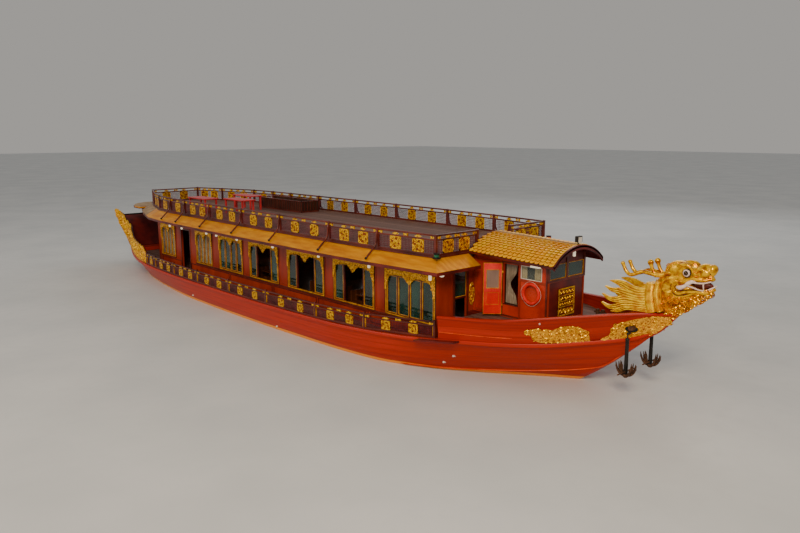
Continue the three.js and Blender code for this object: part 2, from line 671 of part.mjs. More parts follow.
// Foot rail, thin panel and mid rail of one bay in one section, with the top rail above
function fenceBay(a, b, form, trim = [0, 0]) {
  const { matrix, length } = bayMatrix(a, b);
  const end = length - trim[1];
  const [rail, panel, mid] = [form.rail / 2, form.panel / 2, form.midRail / 2];
  const half = [[rail, 0], [rail, form.footRail], [panel, form.footRail], [panel, form.panelTop],
    [mid, form.panelTop], [mid, form.midTop]];
  const section = [...half, ...half.map(([y, z]) => [-y, z]).reverse()];
  const band = extruded(section, end - trim[0]);
  band.applyMatrix4(SECTION_TO_BAY);
  band.translate(trim[0], 0, 0);
  band.applyMatrix4(matrix);
  const topRail = box(trim[0], end, -form.topWidth / 2, form.topWidth / 2,
    form.topFoot, form.topFoot + form.topHeight, matrix);
  return toSolid(band).add(topRail);
}

function fencePost([x, y, z], form) {
  const half = form.post / 2;
  return box(x - half, x + half, y - half, y + half, z, z + form.postTop);
}

function fence(points, form, trims = null) {
  const bays = points.slice(1).map((b, i) => fenceBay(points[i], b, form, trims ? trims[i] : [0, 0]));
  return union([...bays, ...points.map((p) => fencePost(p, form))]);
}

// A stay from a fence post over the deck edge down to the eave: distance out and height
const STAY = [[-30, 4230], [30, 4010], [130, 3830], [300, 3640], [430, 3475]];
const STAY_BAR = 34;

function eaveStay(side, post) {
  return loft(STAY.map(([out, z], i) => {
    const width = STAY_BAR / 2;
    const y = side * (Math.abs(post[1]) + 60 + out);
    const drop = i < STAY.length - 1 ? STAY_BAR : 20;
    return [[post[0] - width, y, z], [post[0] + width, y, z], [post[0] + width, y, z + drop],
      [post[0] - width, y, z + drop]];
  })).subtract(EAVE_SEAT);
}

const UPPER_POSTS = [9840, 7300, 4700, 1500, -1400, -4250, -6700, -8300, -9950];
const AFT_CORNERS = [[-12200, 2050], [-13840, 1360]];
const RAIL_INSET = 60;
const CORNER = FENCE.post / 2 + GAP;
const SLANT_CORNER = CORNER + 30;

function deckHalf(x) {
  return between(DECK_PLAN.slice().reverse(), 'half', x);
}

for (const [name, side] of SIDES) {
  const posts = UPPER_POSTS.map((x) => [x, side * (deckHalf(x) - RAIL_INSET), UPPER_DECK + GAP]);
  const stays = posts.slice(1, 8).map((p) => eaveStay(side, p));
  addNode(`upper_fence_${name}`, union([fence(posts, FENCE), ...stays]), MAROON, 0.5);
  const front = [posts[0], [posts[0][0], side * 860, UPPER_DECK + GAP]];
  const frontBay = union([fenceBay(front[0], front[1], FENCE, [CORNER, 0]), fencePost(front[1], FENCE)]);
  addNode(`front_fence_${name}`, frontBay, MAROON, 0.5);
}

function aftFence() {
  const corner = UPPER_POSTS[8];
  const z = UPPER_DECK + GAP;
  const plan = [[corner, deckHalf(corner) - RAIL_INSET], ...AFT_CORNERS];
  const points = [...plan.map(([x, y]) => [x, -y, z]), ...plan.slice().reverse().map(([x, y]) => [x, y, z])];
  const last = points.length - 2;
  const bays = points.slice(1).map((b, i) => fenceBay(points[i], b, FENCE,
    [i === 0 ? SLANT_CORNER : 0, i === last ? SLANT_CORNER : 0]));
  return union([...bays, ...points.slice(1, -1).map((p) => fencePost(p, FENCE))]);
}
addNode('upper_fence_aft', aftFence(), MAROON, 0.5);

// Red topped tables on the aft part of the upper deck
const DECK_TABLE = { length: 1700, width: 760, height: 720, top: 45, leg: 70 };
const DECK_TABLES = [
  { name: 'a', x: -5150, y: -1000 },
  { name: 'b', x: -7050, y: -1900 },
  { name: 'c', x: -6900, y: 500 },
];

for (const table of DECK_TABLES) {
  const z = UPPER_DECK + GAP;
  const halfLength = DECK_TABLE.length / 2;
  const halfWidth = DECK_TABLE.width / 2;
  const solids = [box(table.x - halfLength, table.x + halfLength, table.y - halfWidth, table.y + halfWidth,
    z + DECK_TABLE.height - DECK_TABLE.top, z + DECK_TABLE.height)];
  for (const [sx, sy] of [[-1, -1], [-1, 1], [1, -1], [1, 1]]) {
    const x = table.x + sx * (halfLength - 90);
    const y = table.y + sy * (halfWidth - 90);
    const half = DECK_TABLE.leg / 2;
    solids.push(box(x - half, x + half, y - half, y + half, z, z + DECK_TABLE.height - 10));
  }
  addNode(`upper_table_${table.name}`, union(solids), TABLE_RED, 0.5);
}

// Walkway fences on the toe rail
const WALK_FENCE = {
  ...FENCE, post: 80, postTop: 600, panelTop: 380, midTop: 425, topFoot: 500, topHeight: 55, topWidth: 76,
};
const WALK_POSTS = [10150, 9500, 7300, 4700, 1500, -1400, -4250, -6700, -9000, -10300];

for (const [name, side] of SIDES) {
  const posts = WALK_POSTS.map((x) => [x, side * (sheerHalf(x) - 62), sheerZ(x) - 4]);
  addNode(`walkway_fence_${name}`, fence(posts, WALK_FENCE).subtract(HULL_SEAT), MAROON, 0.5);
}

// Small boarding ledge outside the sheer, where the walkway meets the bow
for (const [name, side] of SIDES) {
  const ledgeStations = [9700, 10300, 11000];
  addNode(`boarding_ledge_${name}`, sheerStrip(side, ledgeStations, RUB_RAIL.out + GAP, 330, -70, -20), MAROON, 0.6);
}

// Wheelhouse

const ARC_STEPS = 12;

// Height of the roof's top face above its ridge line, across the boat
function roofArc(y) {
  const radius = (ROOF.half ** 2 + ROOF.sag ** 2) / (2 * ROOF.sag);
  return Math.sqrt(radius ** 2 - y ** 2) - radius;
}

function roofRidge(x) {
  return ROOF.ridge + (ROOF.drop * (ROOF.fore - x)) / (ROOF.fore - ROOF.aft);
}

function roofRing(x, lift, half = ROOF.half) {
  const ring = [];
  for (let i = 0; i <= ARC_STEPS; i += 1) {
    const y = -half + (2 * half * i) / ARC_STEPS;
    ring.push([x, y, roofRidge(x) + roofArc(y) + lift]);
  }
  return ring;
}

// All that lies under the arc from x0 to x1, down to a level foot
function underArc(x0, x1, lift, half, foot) {
  return loft([x0, x1].map((x) => [...roofRing(x, lift, half), [x, half, foot], [x, -half, foot]]));
}

// The space below runs on past the roof's sides
const UNDER_HALF = ROOF.half + 60;

function wheelhouseRoof() {
  const whole = underArc(ROOF.aft, ROOF.fore, 0, ROOF.half, 2000);
  return whole.subtract(underArc(ROOF.aft - 100, ROOF.fore + 100, -ROOF.thickness, UNDER_HALF, 1900));
}

function belowRoof() {
  return underArc(ROOF.aft - 200, ROOF.fore, -ROOF.thickness - GAP, UNDER_HALF, 1000);
}

const LEAF = { x: 11110, width: 630, z0: 1840, z1: 3540, thickness: 38, gap: 12, open: 133 };
const OPENING = { x0: 11130, x1: 11720, z0: 1850, z1: 3520 };
const SIDE_WINDOW = { x0: 11830, x1: 12620 };
const HINGE_Y = WHEELHOUSE.half + LEAF.gap + LEAF.thickness / 2;
const HINGE_PIN = { radius: 15, plate: 8, levels: [2150, 3250], height: 60 };

// Hinge plates of the wall: one under and one over each knuckle of the leaf
function hingePlates(side) {
  return HINGE_PIN.levels.flatMap((z) => [-1, 1].map((end) => {
    const z0 = z + end * (HINGE_PIN.height / 2 + HINGE_PIN.plate / 2 + GAP) - HINGE_PIN.plate / 2;
    return sideBox(side, LEAF.x - 14, LEAF.x + 14, WHEELHOUSE.half - 10, HINGE_Y + 14, z0, z0 + HINGE_PIN.plate);
  }));
}

function wheelhouseSide(side) {
  const inner = WHEELHOUSE.half - WHEELHOUSE.wall;
  const wall = sideBox(side, SALOON.fore + GAP, WHEELHOUSE.fore, inner, WHEELHOUSE.half, FOREDECK + GAP, 4300);
  const holes = [
    sideBox(side, OPENING.x0, OPENING.x1, inner - 100, WHEELHOUSE.half + 100, OPENING.z0, OPENING.z1),
    sideBox(side, SIDE_WINDOW.x0, SIDE_WINDOW.x1, inner - 100, WHEELHOUSE.half + 100, WHEELHOUSE.sill, 3540),
  ];
  const pane = sideBox(side, SIDE_WINDOW.x0 - 10, SIDE_WINDOW.x1 + 10, inner + 24, inner + 34,
    WHEELHOUSE.sill - 10, 3550);
  const deckEdge = box(SALOON.fore - 50, ROOF.aft, -1100, 1100, SALOON_TOP - GAP, 4400);
  const trimmed = cut(wall, [...holes, deckEdge]).intersect(belowRoof());
  return union([trimmed, pane, ...hingePlates(side)]);
}

function wheelhouseFront() {
  const half = WHEELHOUSE.half - WHEELHOUSE.wall - GAP;
  const wall = box(WHEELHOUSE.fore - 60, WHEELHOUSE.fore, -half, half, FOREDECK + GAP, 4300);
  const holes = SIDES.map(([, side]) => sideBox(side, WHEELHOUSE.fore - 100, WHEELHOUSE.fore + 100,
    45, half - 50, WHEELHOUSE.sill + 60, 3640));
  const panes = SIDES.map(([, side]) => sideBox(side, WHEELHOUSE.fore - 36, WHEELHOUSE.fore - 26,
    35, half - 40, WHEELHOUSE.sill + 50, 3650));
  return union([cut(wall, holes), ...panes]).intersect(belowRoof());
}

// A door leaf in its closed place, turned about its hinge to where it stands open
function doorLeaf(side) {
  const { x, width, z0, z1, thickness } = LEAF;
  const inner = HINGE_Y - thickness / 2;
  const outer = HINGE_Y + thickness / 2;
  const leaf = sideBox(side, x + 26, x + width, inner, outer, z0, z1);
  const window = sideBox(side, x + 110, x + width - 90, inner - 50, outer + 50, 2820, 3260);
  const pane = sideBox(side, x + 100, x + width - 80, HINGE_Y - 5, HINGE_Y + 5, 2810, 3270);
  const knuckles = HINGE_PIN.levels.flatMap((z) => [
    cylinder(HINGE_PIN.radius, HINGE_PIN.height, [x, side * HINGE_Y, z], 'z', 12),
    sideBox(side, x, x + 40, HINGE_Y - 5, HINGE_Y + 5, z - HINGE_PIN.height / 2, z + HINGE_PIN.height / 2),
  ]);
  const geometry = toGeometry(union([leaf.subtract(window), pane, ...knuckles]));
  geometry.translate(-x, -side * HINGE_Y, 0);
  geometry.rotateZ((side * LEAF.open * Math.PI) / 180);
  geometry.translate(x, side * HINGE_Y, 0);
  return toSolid(geometry);
}

const barrelRoof = wheelhouseRoof();
addNode('wheelhouse_roof', barrelRoof, TILE_YELLOW, 0.45);
addNode('wheelhouse_front', wheelhouseFront(), BRIGHT_RED, 0.45);
for (const [name, side] of SIDES) {
  addNode(`wheelhouse_side_${name}`, wheelhouseSide(side), BRIGHT_RED, 0.45);
  addNode(`wheelhouse_door_${name}`, doorLeaf(side), BRIGHT_RED, 0.45);
}

function helmConsole() {
  const z = FOREDECK + GAP;
  const x = WHEELHOUSE.fore - 60 - GAP;
  const wheel = new THREE.TorusGeometry(260, 18, 6, 16);
  wheel.rotateY(Math.PI / 2);
  wheel.translate(x - 520, 0, z + 1050);
  return union([
    box(x - 380, x, -420, 420, z, z + 1000),
    cylinder(25, 200, [x - 450, 0, z + 1050], 'x', 10),
    box(x - 535, x - 505, -255, 255, z + 1035, z + 1065),
    box(x - 535, x - 505, -15, 15, z + 795, z + 1305),
    box(x - 400, x - 340, -40, 40, z + 980, z + 1090),
    toSolid(wheel),
  ]);
}
addNode('helm_console', helmConsole(), WOOD, 0.5);

// Lifebuoy flat on the starboard panel
const BUOY = { x: 12270, z: 2700, outer: 360, tube: 55 };

function lifebuoy() {
  const ring = new THREE.TorusGeometry(BUOY.outer - BUOY.tube, BUOY.tube, 8, 24);
  ring.rotateX(Math.PI / 2);
  ring.translate(BUOY.x, -WHEELHOUSE.half - BUOY.tube - GAP, BUOY.z);
  return toSolid(ring);
}
addNode('lifebuoy', lifebuoy(), BUOY_RED, 0.5);

function floodlight() {
  const x = ROOF.fore - 90;
  const z = roofRidge(x);
  return union([
    box(x - 30, x + 30, -70, 70, z - 10, z + 40),
    box(x - 15, x + 15, -15, 15, z + 30, z + 110),
    box(x - 50, x + 60, -120, 120, z + 100, z + 290),
  ]).subtract(moved(barrelRoof, 0, 0, GAP));
}
addNode('floodlight', floodlight(), STEEL, 0.4, 0.5);

// Foredeck bollards
for (const [name, side] of SIDES) {
  const place = [13500, side * 1000, FOREDECK + GAP];
  addNode(`bollard_${name}`, union([
    box(place[0] - 180, place[0] + 180, place[1] - 110, place[1] + 110, place[2], place[2] + 30),
    cylinder(60, 320, [place[0] - 95, place[1], place[2] + 180], 'z', 14),
    cylinder(60, 320, [place[0] + 95, place[1], place[2] + 180], 'z', 14),
    cylinder(32, 420, [place[0], place[1], place[2] + 240], 'x', 10),
  ]), IRON, 0.6, 0.4);
}

// Dragon figure on the stem

function dragonHead() {
  const neckRings = [
    { x: 16300, z: 2600, rx: 240, ry: 60 },
    { x: 16340, z: 2700, rx: 330, ry: 100 },
    { x: 16450, z: 2920, rx: 470, ry: 200 },
    { x: 16560, z: 3130, rx: 610, ry: 250 },
    { x: 16590, z: 3400, rx: 620, ry: 290 },
    { x: 16560, z: 3700, rx: 410, ry: 300 },
  ];
  const neck = loft(neckRings.map((r) => {
    const ring = [];
    for (let i = 0; i < 16; i += 1) {
      const angle = (i / 16) * 2 * Math.PI;
      ring.push([r.x + r.rx * Math.cos(angle), r.ry * Math.sin(angle), r.z]);
    }
    return ring;
  }));
  const brows = SIDES.map(([, side]) => ellipsoid([16820, side * 215, 4010], [270, 95, 200]));
  const ears = SIDES.map(([, side]) => ellipsoid([16390, side * 300, 3510], [230, 75, 190]));
  const nostrils = SIDES.map(([, side]) => ellipsoid([17300, side * 165, 3960], [150, 75, 130]));
  return union([
    neck,
    ellipsoid([16600, 0, 3850], [440, 290, 360]),
    ellipsoid([17080, 0, 3900], [420, 220, 215]),
    ellipsoid([17410, 0, 4030], [190, 195, 190]),
    ellipsoid([17200, 0, 3790], [370, 200, 125]),
    ellipsoid([17180, 0, 3440], [420, 190, 105], 0.28),
    ellipsoid([16650, 0, 3430], [260, 330, 230]),
    ...brows,
    ...ears,
    ...nostrils,
  ]).subtract(HULL_SEAT);
}

// Horn path of one side: x, half-breadth, z and radius
const HORN_PATH = [
  [16560, 190, 3960, 66], [16370, 195, 3830, 60], [16070, 200, 3690, 54], [15830, 200, 3660, 48],
  [15480, 200, 3700, 42], [15200, 200, 3610, 36], [15020, 200, 3710, 28], [14900, 200, 3900, 18],
];
const PRONG_PATH = [[15900, 200, 3670, 44], [15800, 200, 3950, 30], [15770, 200, 4070, 34]];

function limb(side, path, sides = 8) {
  return loft(path.map(([x, y, z, radius], i) => {
    const a = path[Math.max(0, i - 1)];
    const b = path[Math.min(path.length - 1, i + 1)];
    const along = new THREE.Vector3(b[0] - a[0], side * (b[1] - a[1]), b[2] - a[2]).normalize();
    const across = new THREE.Vector3(0, 1, 0).cross(along).normalize();
    const up = along.clone().cross(across);
    const ring = [];
    for (let k = 0; k < sides; k += 1) {
      const angle = (k / sides) * 2 * Math.PI;
      const point = new THREE.Vector3(x, side * y, z)
        .addScaledVector(across, radius * Math.cos(angle))
        .addScaledVector(up, radius * Math.sin(angle));
      ring.push(point.toArray());
    }
    return ring;
  }));
}

// Locks of one side, swept aft from the collar: x and z along each, root first
const LOCKS = [
  [[15850, 3270], [15550, 3250], [15250, 3390], [14920, 3440], [14660, 3370]],
  [[15800, 3080], [15630, 3070], [15140, 3130], [14830, 3080], [14400, 3160]],
  [[15800, 2930], [15640, 2910], [15100, 2910], [14730, 2840], [14360, 2950]],
  [[15800, 2790], [15650, 2790], [15070, 2720], [14710, 2590], [14350, 2690]],
  [[15800, 2700], [15660, 2680], [15150, 2640], [14940, 2520], [14670, 2480]],
];
const LOCK = { y: 330, radii: [105, 102, 90, 60, 18] };
const COLLAR = [[16170, 2640], [16170, 3540], [15740, 3530], [15640, 3250], [15640, 2640]];
const COLLAR_Y = { inner: 130, outer: 370 };

function maneLock(side, points) {
  return limb(side, points.map(([x, z], i) => [x, LOCK.y, z, LOCK.radii[i]]));
}

const head = dragonHead();
addNode('dragon_head', head, GOLD, 0.3, 0.7);
for (const [name, side] of SIDES) {
  const horn = union([limb(side, HORN_PATH), limb(side, PRONG_PATH)]);
  addNode(`dragon_horn_${name}`, clearOf(horn, head), GOLD, 0.3, 0.7);
  const collar = sideProfile(COLLAR, side * COLLAR_Y.inner, side * COLLAR_Y.outer);
  const mane = union([collar, ...LOCKS.map((points) => maneLock(side, points))]).subtract(HULL_SEAT);
  addNode(`dragon_mane_${name}`, clearOf(mane, head), GOLD, 0.3, 0.7);
}

// Anchors hang from the hawse holes on their shanks
const ANCHOR = { top: 2040, crown: 760, shank: 34, stock: 900 };

function anchor(side) {
  const x = HAWSE.x + 20;
  const y = side * (HAWSE.y + 140);
  const fluke = (end) => limb(1, [
    [x, y, ANCHOR.crown, 40], [x + end * 170, y, ANCHOR.crown + 60, 36],
    [x + end * 290, y, ANCHOR.crown + 210, 30], [x + end * 330, y, ANCHOR.crown + 360, 14],
  ]);
  return union([
    cylinder(ANCHOR.shank, ANCHOR.top - ANCHOR.crown, [x, y, (ANCHOR.top + ANCHOR.crown) / 2], 'z', 10),
    cylinder(24, ANCHOR.stock, [x, y, ANCHOR.crown + 120], 'y', 10),
    fluke(1),
    fluke(-1),
    box(x - 60, x + 60, y - 60, y + 60, ANCHOR.crown - 40, ANCHOR.crown + 50),
    sideBox(side, x - 25, x + 25, HAWSE.y + GAP, HAWSE.y + 140, ANCHOR.top - 60, ANCHOR.top + 20),
  ]);
}

for (const [name, side] of SIDES) {
  addNode(`anchor_${name}`, anchor(side), IRON, 0.8, 0.3);
}

// Propellers and rudders

function propeller(side) {
  const centre = [PROP.x, side * PROP.y, PROP.z];
  const hub = cylinder(PROP.hub, PROP.length, centre, 'x', 16, PROP.hub * 0.9);
  const cone = cylinder(30, 90, [PROP.x - PROP.length / 2 - 40, centre[1], centre[2]], 'x', 12, PROP.hub * 0.8);
  const blades = [0, 1, 2, 3].map((k) => {
    const geometry = new THREE.BoxGeometry(22, 190, PROP.radius - 40);
    geometry.rotateZ(side * 0.6);
    geometry.translate(0, 0, (PROP.radius + 40) / 2);
    geometry.rotateX((k * Math.PI) / 2);
    geometry.translate(...centre);
    return toSolid(geometry);
  });
  const disc = cylinder(PROP.radius, 400, centre, 'x', 32);
  return union([hub, cone, ...blades]).intersect(disc.add(cone));
}

function rudder(side) {
  const y = side * RUDDER.y;
  const shape = [
    [RUDDER.x + RUDDER.fore, y], [RUDDER.x + RUDDER.fore * 0.5, y - RUDDER.thickness / 2],
    [RUDDER.x - RUDDER.aft, y - 8], [RUDDER.x - RUDDER.aft, y + 8],
    [RUDDER.x + RUDDER.fore * 0.5, y + RUDDER.thickness / 2],
  ];
  return union([
    planProfile(shape, RUDDER.foot, RUDDER.top),
    cylinder(32, BOSS.foot - GAP - RUDDER.top + 100, [RUDDER.x, y, (BOSS.foot - GAP + RUDDER.top - 100) / 2], 'z', 14),
  ]);
}

for (const [name, side] of SIDES) {
  addNode(`propeller_${name}`, propeller(side), BRONZE, 0.4, 0.8);
  addNode(`rudder_${name}`, rudder(side), HULL_RED, 0.6, 0.2);
}

export default boat;
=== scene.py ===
"""Looks of the river dragon boat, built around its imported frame.

Metres throughout: +X is the bow, +Y port, +Z up, and z = 0 is the water.
"""
import math
import random
from collections import namedtuple

import bmesh
import bpy
from mathutils import Euler, Matrix, Vector


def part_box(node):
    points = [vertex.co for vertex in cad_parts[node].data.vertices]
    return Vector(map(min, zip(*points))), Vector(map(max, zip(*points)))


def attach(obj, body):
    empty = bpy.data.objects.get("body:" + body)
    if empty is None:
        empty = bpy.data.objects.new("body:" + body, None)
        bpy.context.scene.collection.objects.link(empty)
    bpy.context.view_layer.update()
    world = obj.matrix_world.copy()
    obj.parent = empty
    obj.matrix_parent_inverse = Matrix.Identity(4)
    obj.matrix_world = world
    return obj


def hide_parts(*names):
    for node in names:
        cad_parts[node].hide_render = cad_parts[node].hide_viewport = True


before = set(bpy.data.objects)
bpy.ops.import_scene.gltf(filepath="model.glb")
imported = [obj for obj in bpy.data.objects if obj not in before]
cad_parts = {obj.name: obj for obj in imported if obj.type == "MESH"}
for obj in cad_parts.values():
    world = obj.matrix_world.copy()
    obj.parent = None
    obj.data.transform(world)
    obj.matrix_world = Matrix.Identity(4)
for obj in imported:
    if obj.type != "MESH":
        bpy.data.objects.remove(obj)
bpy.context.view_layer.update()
SIDES = (("starboard", -1), ("port", 1))
SOLID = 0.0003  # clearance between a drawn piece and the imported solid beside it

# Levels
MAIN_DECK = 0.92
FOREDECK = 1.75
UPPER_DECK = 3.80
SILL = 1.51
HEAD = 2.96
SALOON_HALF = 2.80
WHEELHOUSE_HALF = 0.98
WHEELHOUSE_FORE = 12.85


# Materials: colours are sRGB, and the sizes of patterns are metres on the boat

MATH, RANGE, NOISE = "ShaderNodeMath", "ShaderNodeMapRange", "ShaderNodeTexNoise"
COAT_ROUGHNESS = 0.12
SPECULAR = 0.3


def hex_rgb(code):
    """Linear colour of an sRGB hex value."""
    values = [int(code[i:i + 2], 16) / 255 for i in (1, 3, 5)]
    return tuple(v / 12.92 if v <= 0.04045 else ((v + 0.055) / 1.055) ** 2.4 for v in values) + (1.0,)


def wire(node, inputs):
    """Sets a node's inputs to values, or links them to the sockets that are given."""
    for key, value in inputs.items():
        if isinstance(value, bpy.types.NodeSocket):
            node.id_data.links.new(value, node.inputs[key])
        else:
            node.inputs[key].default_value = value


def add(tree, kind, inputs=None, out=0, **settings):
    """Adds a node with its settings and links, and gives one of its outputs."""
    node = tree.nodes.new(kind)
    for key, value in settings.items():
        setattr(node, key, value)
    wire(node, inputs or {})
    return node.outputs[out] if node.outputs else node


def graded(tree, value, low, high, first, second, most=1.0):
    """The first colour where a value is low, going over to the second, or most of it, where it is high."""
    share = add(tree, RANGE, {"Value": value, "From Min": low, "From Max": high, "To Max": most})
    a, b = [hex_rgb(colour) if isinstance(colour, str) else colour for colour in (first, second)]
    return add(tree, "ShaderNodeMix", {0: share, 6: a, 7: b}, 2, data_type="RGBA")


def started(name, roughness, metallic=0.0, coat=0.0):
    """A new material: its tree, its shader and its object coordinates."""
    material = bpy.data.materials.new(name)
    material.use_nodes = True
    tree = material.node_tree
    shader = tree.nodes["Principled BSDF"]
    wire(shader, {"Roughness": roughness, "Metallic": metallic, "Coat Weight": coat,
                  "Coat Roughness": COAT_ROUGHNESS, "Specular IOR Level": SPECULAR})
    return material, tree, shader, add(tree, "ShaderNodeTexCoord", out="Object")


def painted(name, light, dark, patch=0.5, brush=0.02, roughness=0.35, metallic=0.0, coat=0.0, depth=0.001,
            stretch=(1, 1, 1)):
    """Brushed or worn paint: two soft tones in patches, and marks that darken it and break its gloss."""
    material, tree, shader, coords = started(name, roughness, metallic, coat)
    coords = add(tree, "ShaderNodeMapping", {"Vector": coords, "Scale": stretch})
    patches = add(tree, NOISE, {"Vector": coords, "Scale": 1 / patch, "Detail": 3.0}, "Fac")
    marks = add(tree, NOISE, {"Vector": coords, "Scale": 1 / brush, "Detail": 2.0}, "Fac")
    colour = graded(tree, patches, 0.32, 0.68, light, dark)
    colour = graded(tree, marks, 0.55, 0.80, colour, dark, most=0.35)
    gloss = add(tree, RANGE, {"Value": marks, "From Min": 0.3, "From Max": 0.7,
                              "To Min": roughness * 0.8, "To Max": roughness * 1.25})
    bump = add(tree, "ShaderNodeBump", {"Height": marks, "Distance": depth, "Strength": 0.6})
    wire(shader, {"Base Color": colour, "Roughness": gloss, "Normal": bump})
    return material


def boards_across(tree, distance, width, seam_start, seam_full):
    """Boards of a width laid across a distance: a random value for each, and 1 in the seams between."""
    place = add(tree, MATH, {0: distance, 1: width}, operation="DIVIDE")
    number = add(tree, MATH, {0: place}, operation="FLOOR")
    board = add(tree, "ShaderNodeTexWhiteNoise", {"W": number}, "Value", noise_dimensions="1D")
    within = add(tree, MATH, {0: place}, operation="FRACT")
    centred = add(tree, MATH, {0: within, 1: 0.5}, operation="SUBTRACT")
    edge = add(tree, MATH, {0: centred}, operation="ABSOLUTE")
    return board, add(tree, RANGE, {"Value": edge, "From Min": seam_start, "From Max": seam_full})


def boarded(name, light, dark, seam, width, axis, roughness=0.6, coat=0.0, grain=(0.6, 14, 14)):
    """Sawn boards of a width side by side along one axis, streaked by the grain, with dark seams between."""
    material, tree, shader, coords = started(name, roughness, 0.0, coat)
    distance = add(tree, "ShaderNodeSeparateXYZ", {0: coords}, axis)
    board, gap = boards_across(tree, distance, width, 0.44, 0.49)
    coords = add(tree, "ShaderNodeMapping", {"Vector": coords, "Scale": grain})
    streak = add(tree, NOISE, {"Vector": coords, "Scale": 3.0, "Detail": 4.0}, "Fac")
    tone = add(tree, MATH, {0: board, 1: streak}, operation="ADD")
    colour = graded(tree, gap, 0.0, 1.0, graded(tree, tone, 0.5, 1.5, light, dark), seam)
    height = add(tree, MATH, {0: gap, 1: -2.0, 2: streak}, operation="MULTIPLY_ADD")
    bump = add(tree, "ShaderNodeBump", {"Height": height, "Distance": 0.003, "Strength": 0.6})
    wire(shader, {"Base Color": colour, "Normal": bump})
    return material


def gilded(name, light, dark, carving=0.05, roughness=0.32, metallic=0.6, depth=0.006):
    """Gold paint over carving of a size in metres: gold on the crests, and painted shade in the cuts that
    darkens it to brown.
    """
    material, tree, shader, coords = started(name, roughness, metallic)
    swirl = add(tree, NOISE, {"Vector": coords, "Scale": 1 / carving, "Detail": 2.0}, "Fac")
    cells = add(tree, "ShaderNodeTexVoronoi", {"Vector": coords, "Scale": 0.7 / carving}, "Distance",
                feature="SMOOTH_F1")
    height = add(tree, MATH, {0: swirl, 1: cells}, operation="SUBTRACT")
    bump = add(tree, "ShaderNodeBump", {"Height": height, "Distance": depth, "Strength": 0.6})
    # The colour follows the carving's relief: its dark colour is painted shade in the cuts.
    wire(shader, {"Base Color": graded(tree, height, -0.25, 0.2, dark, light), "Normal": bump})
    return material


STRAKE = 0.21
WET_EDGE = 0.02
STRIPE_FOOT = (0.01, 0.02)
STRIPE_TOP = (0.115, 0.135)


def varnished_hull():
    """Oil varnish over long strakes that follow the sheer, an orange stripe at the water and red below it."""
    material, tree, shader, coords = started("gloss_hull_paint", 0.36, 0.0, 0.02)
    girth = add(tree, "ShaderNodeUVMap", uv_map="girth")
    distance = add(tree, "ShaderNodeSeparateXYZ", {0: girth}, 1)
    board, seam = boards_across(tree, distance, STRAKE, 0.455, 0.495)
    along = add(tree, "ShaderNodeMapping", {"Vector": girth, "Scale": (0.22, 5, 1)})
    streak = add(tree, NOISE, {"Vector": along, "Scale": 2.5, "Detail": 4.0}, "Fac")
    tone = add(tree, MATH, {0: board, 1: 0.4, 2: streak}, operation="MULTIPLY_ADD")
    varnish = graded(tree, tone, 0.3, 1.1, "#C22C04", "#961402")
    varnish = graded(tree, seam, 0.0, 1.0, varnish, "#5A0C04", most=0.55)
    height = add(tree, "ShaderNodeSeparateXYZ", {0: coords}, 2)
    wet = add(tree, NOISE, {"Vector": coords, "Scale": 1.2, "Detail": 2.0}, "Fac")
    level = add(tree, MATH, {0: wet, 1: WET_EDGE, 2: height}, operation="MULTIPLY_ADD")
    striped = graded(tree, level, *STRIPE_FOOT, varnish, "#FF9A1C")
    striped = graded(tree, level, *STRIPE_TOP, striped, varnish)
    colour = graded(tree, level, STRIPE_FOOT[0], 0.0, striped, "#C02C08")
    grain = add(tree, MATH, {0: streak, 1: 0.15}, operation="MULTIPLY")
    rise = add(tree, MATH, {0: grain, 1: seam}, operation="SUBTRACT")
    bump = add(tree, "ShaderNodeBump", {"Height": rise, "Distance": 0.004, "Strength": 0.4})
    wire(shader, {"Base Color": colour, "Normal": bump})
    return material


def window_glass(name, light, dark, alpha):
    """Float glass with a soft change of tone, and a little or much of the room behind it."""
    material, tree, shader, coords = started(name, 0.05, coat=1.0)
    coords = add(tree, "ShaderNodeMapping", {"Vector": coords, "Scale": (1, 1, 0.4)})
    tone = add(tree, NOISE, {"Vector": coords, "Scale": 1.6, "Detail": 3.0}, "Fac")
    wire(shader, {"Base Color": graded(tree, tone, 0.35, 0.65, light, dark), "Alpha": alpha,
                  "Coat Roughness": 0.03})
    return material


def lamp_glass():
    """Opal glass, which spreads a faint warm light over the whole lamp."""
    material, tree, shader, coords = started("opal_lamp_glass", 0.3)
    tone = add(tree, NOISE, {"Vector": coords, "Scale": 20, "Detail": 3.0}, "Fac")
    wire(shader, {"Base Color": graded(tree, tone, 0.0, 1.0, "#FFF6E4", "#F2E2C4"),
                  "Emission Color": hex_rgb("#FFEBC8"), "Emission Strength": 0.7})
    return material


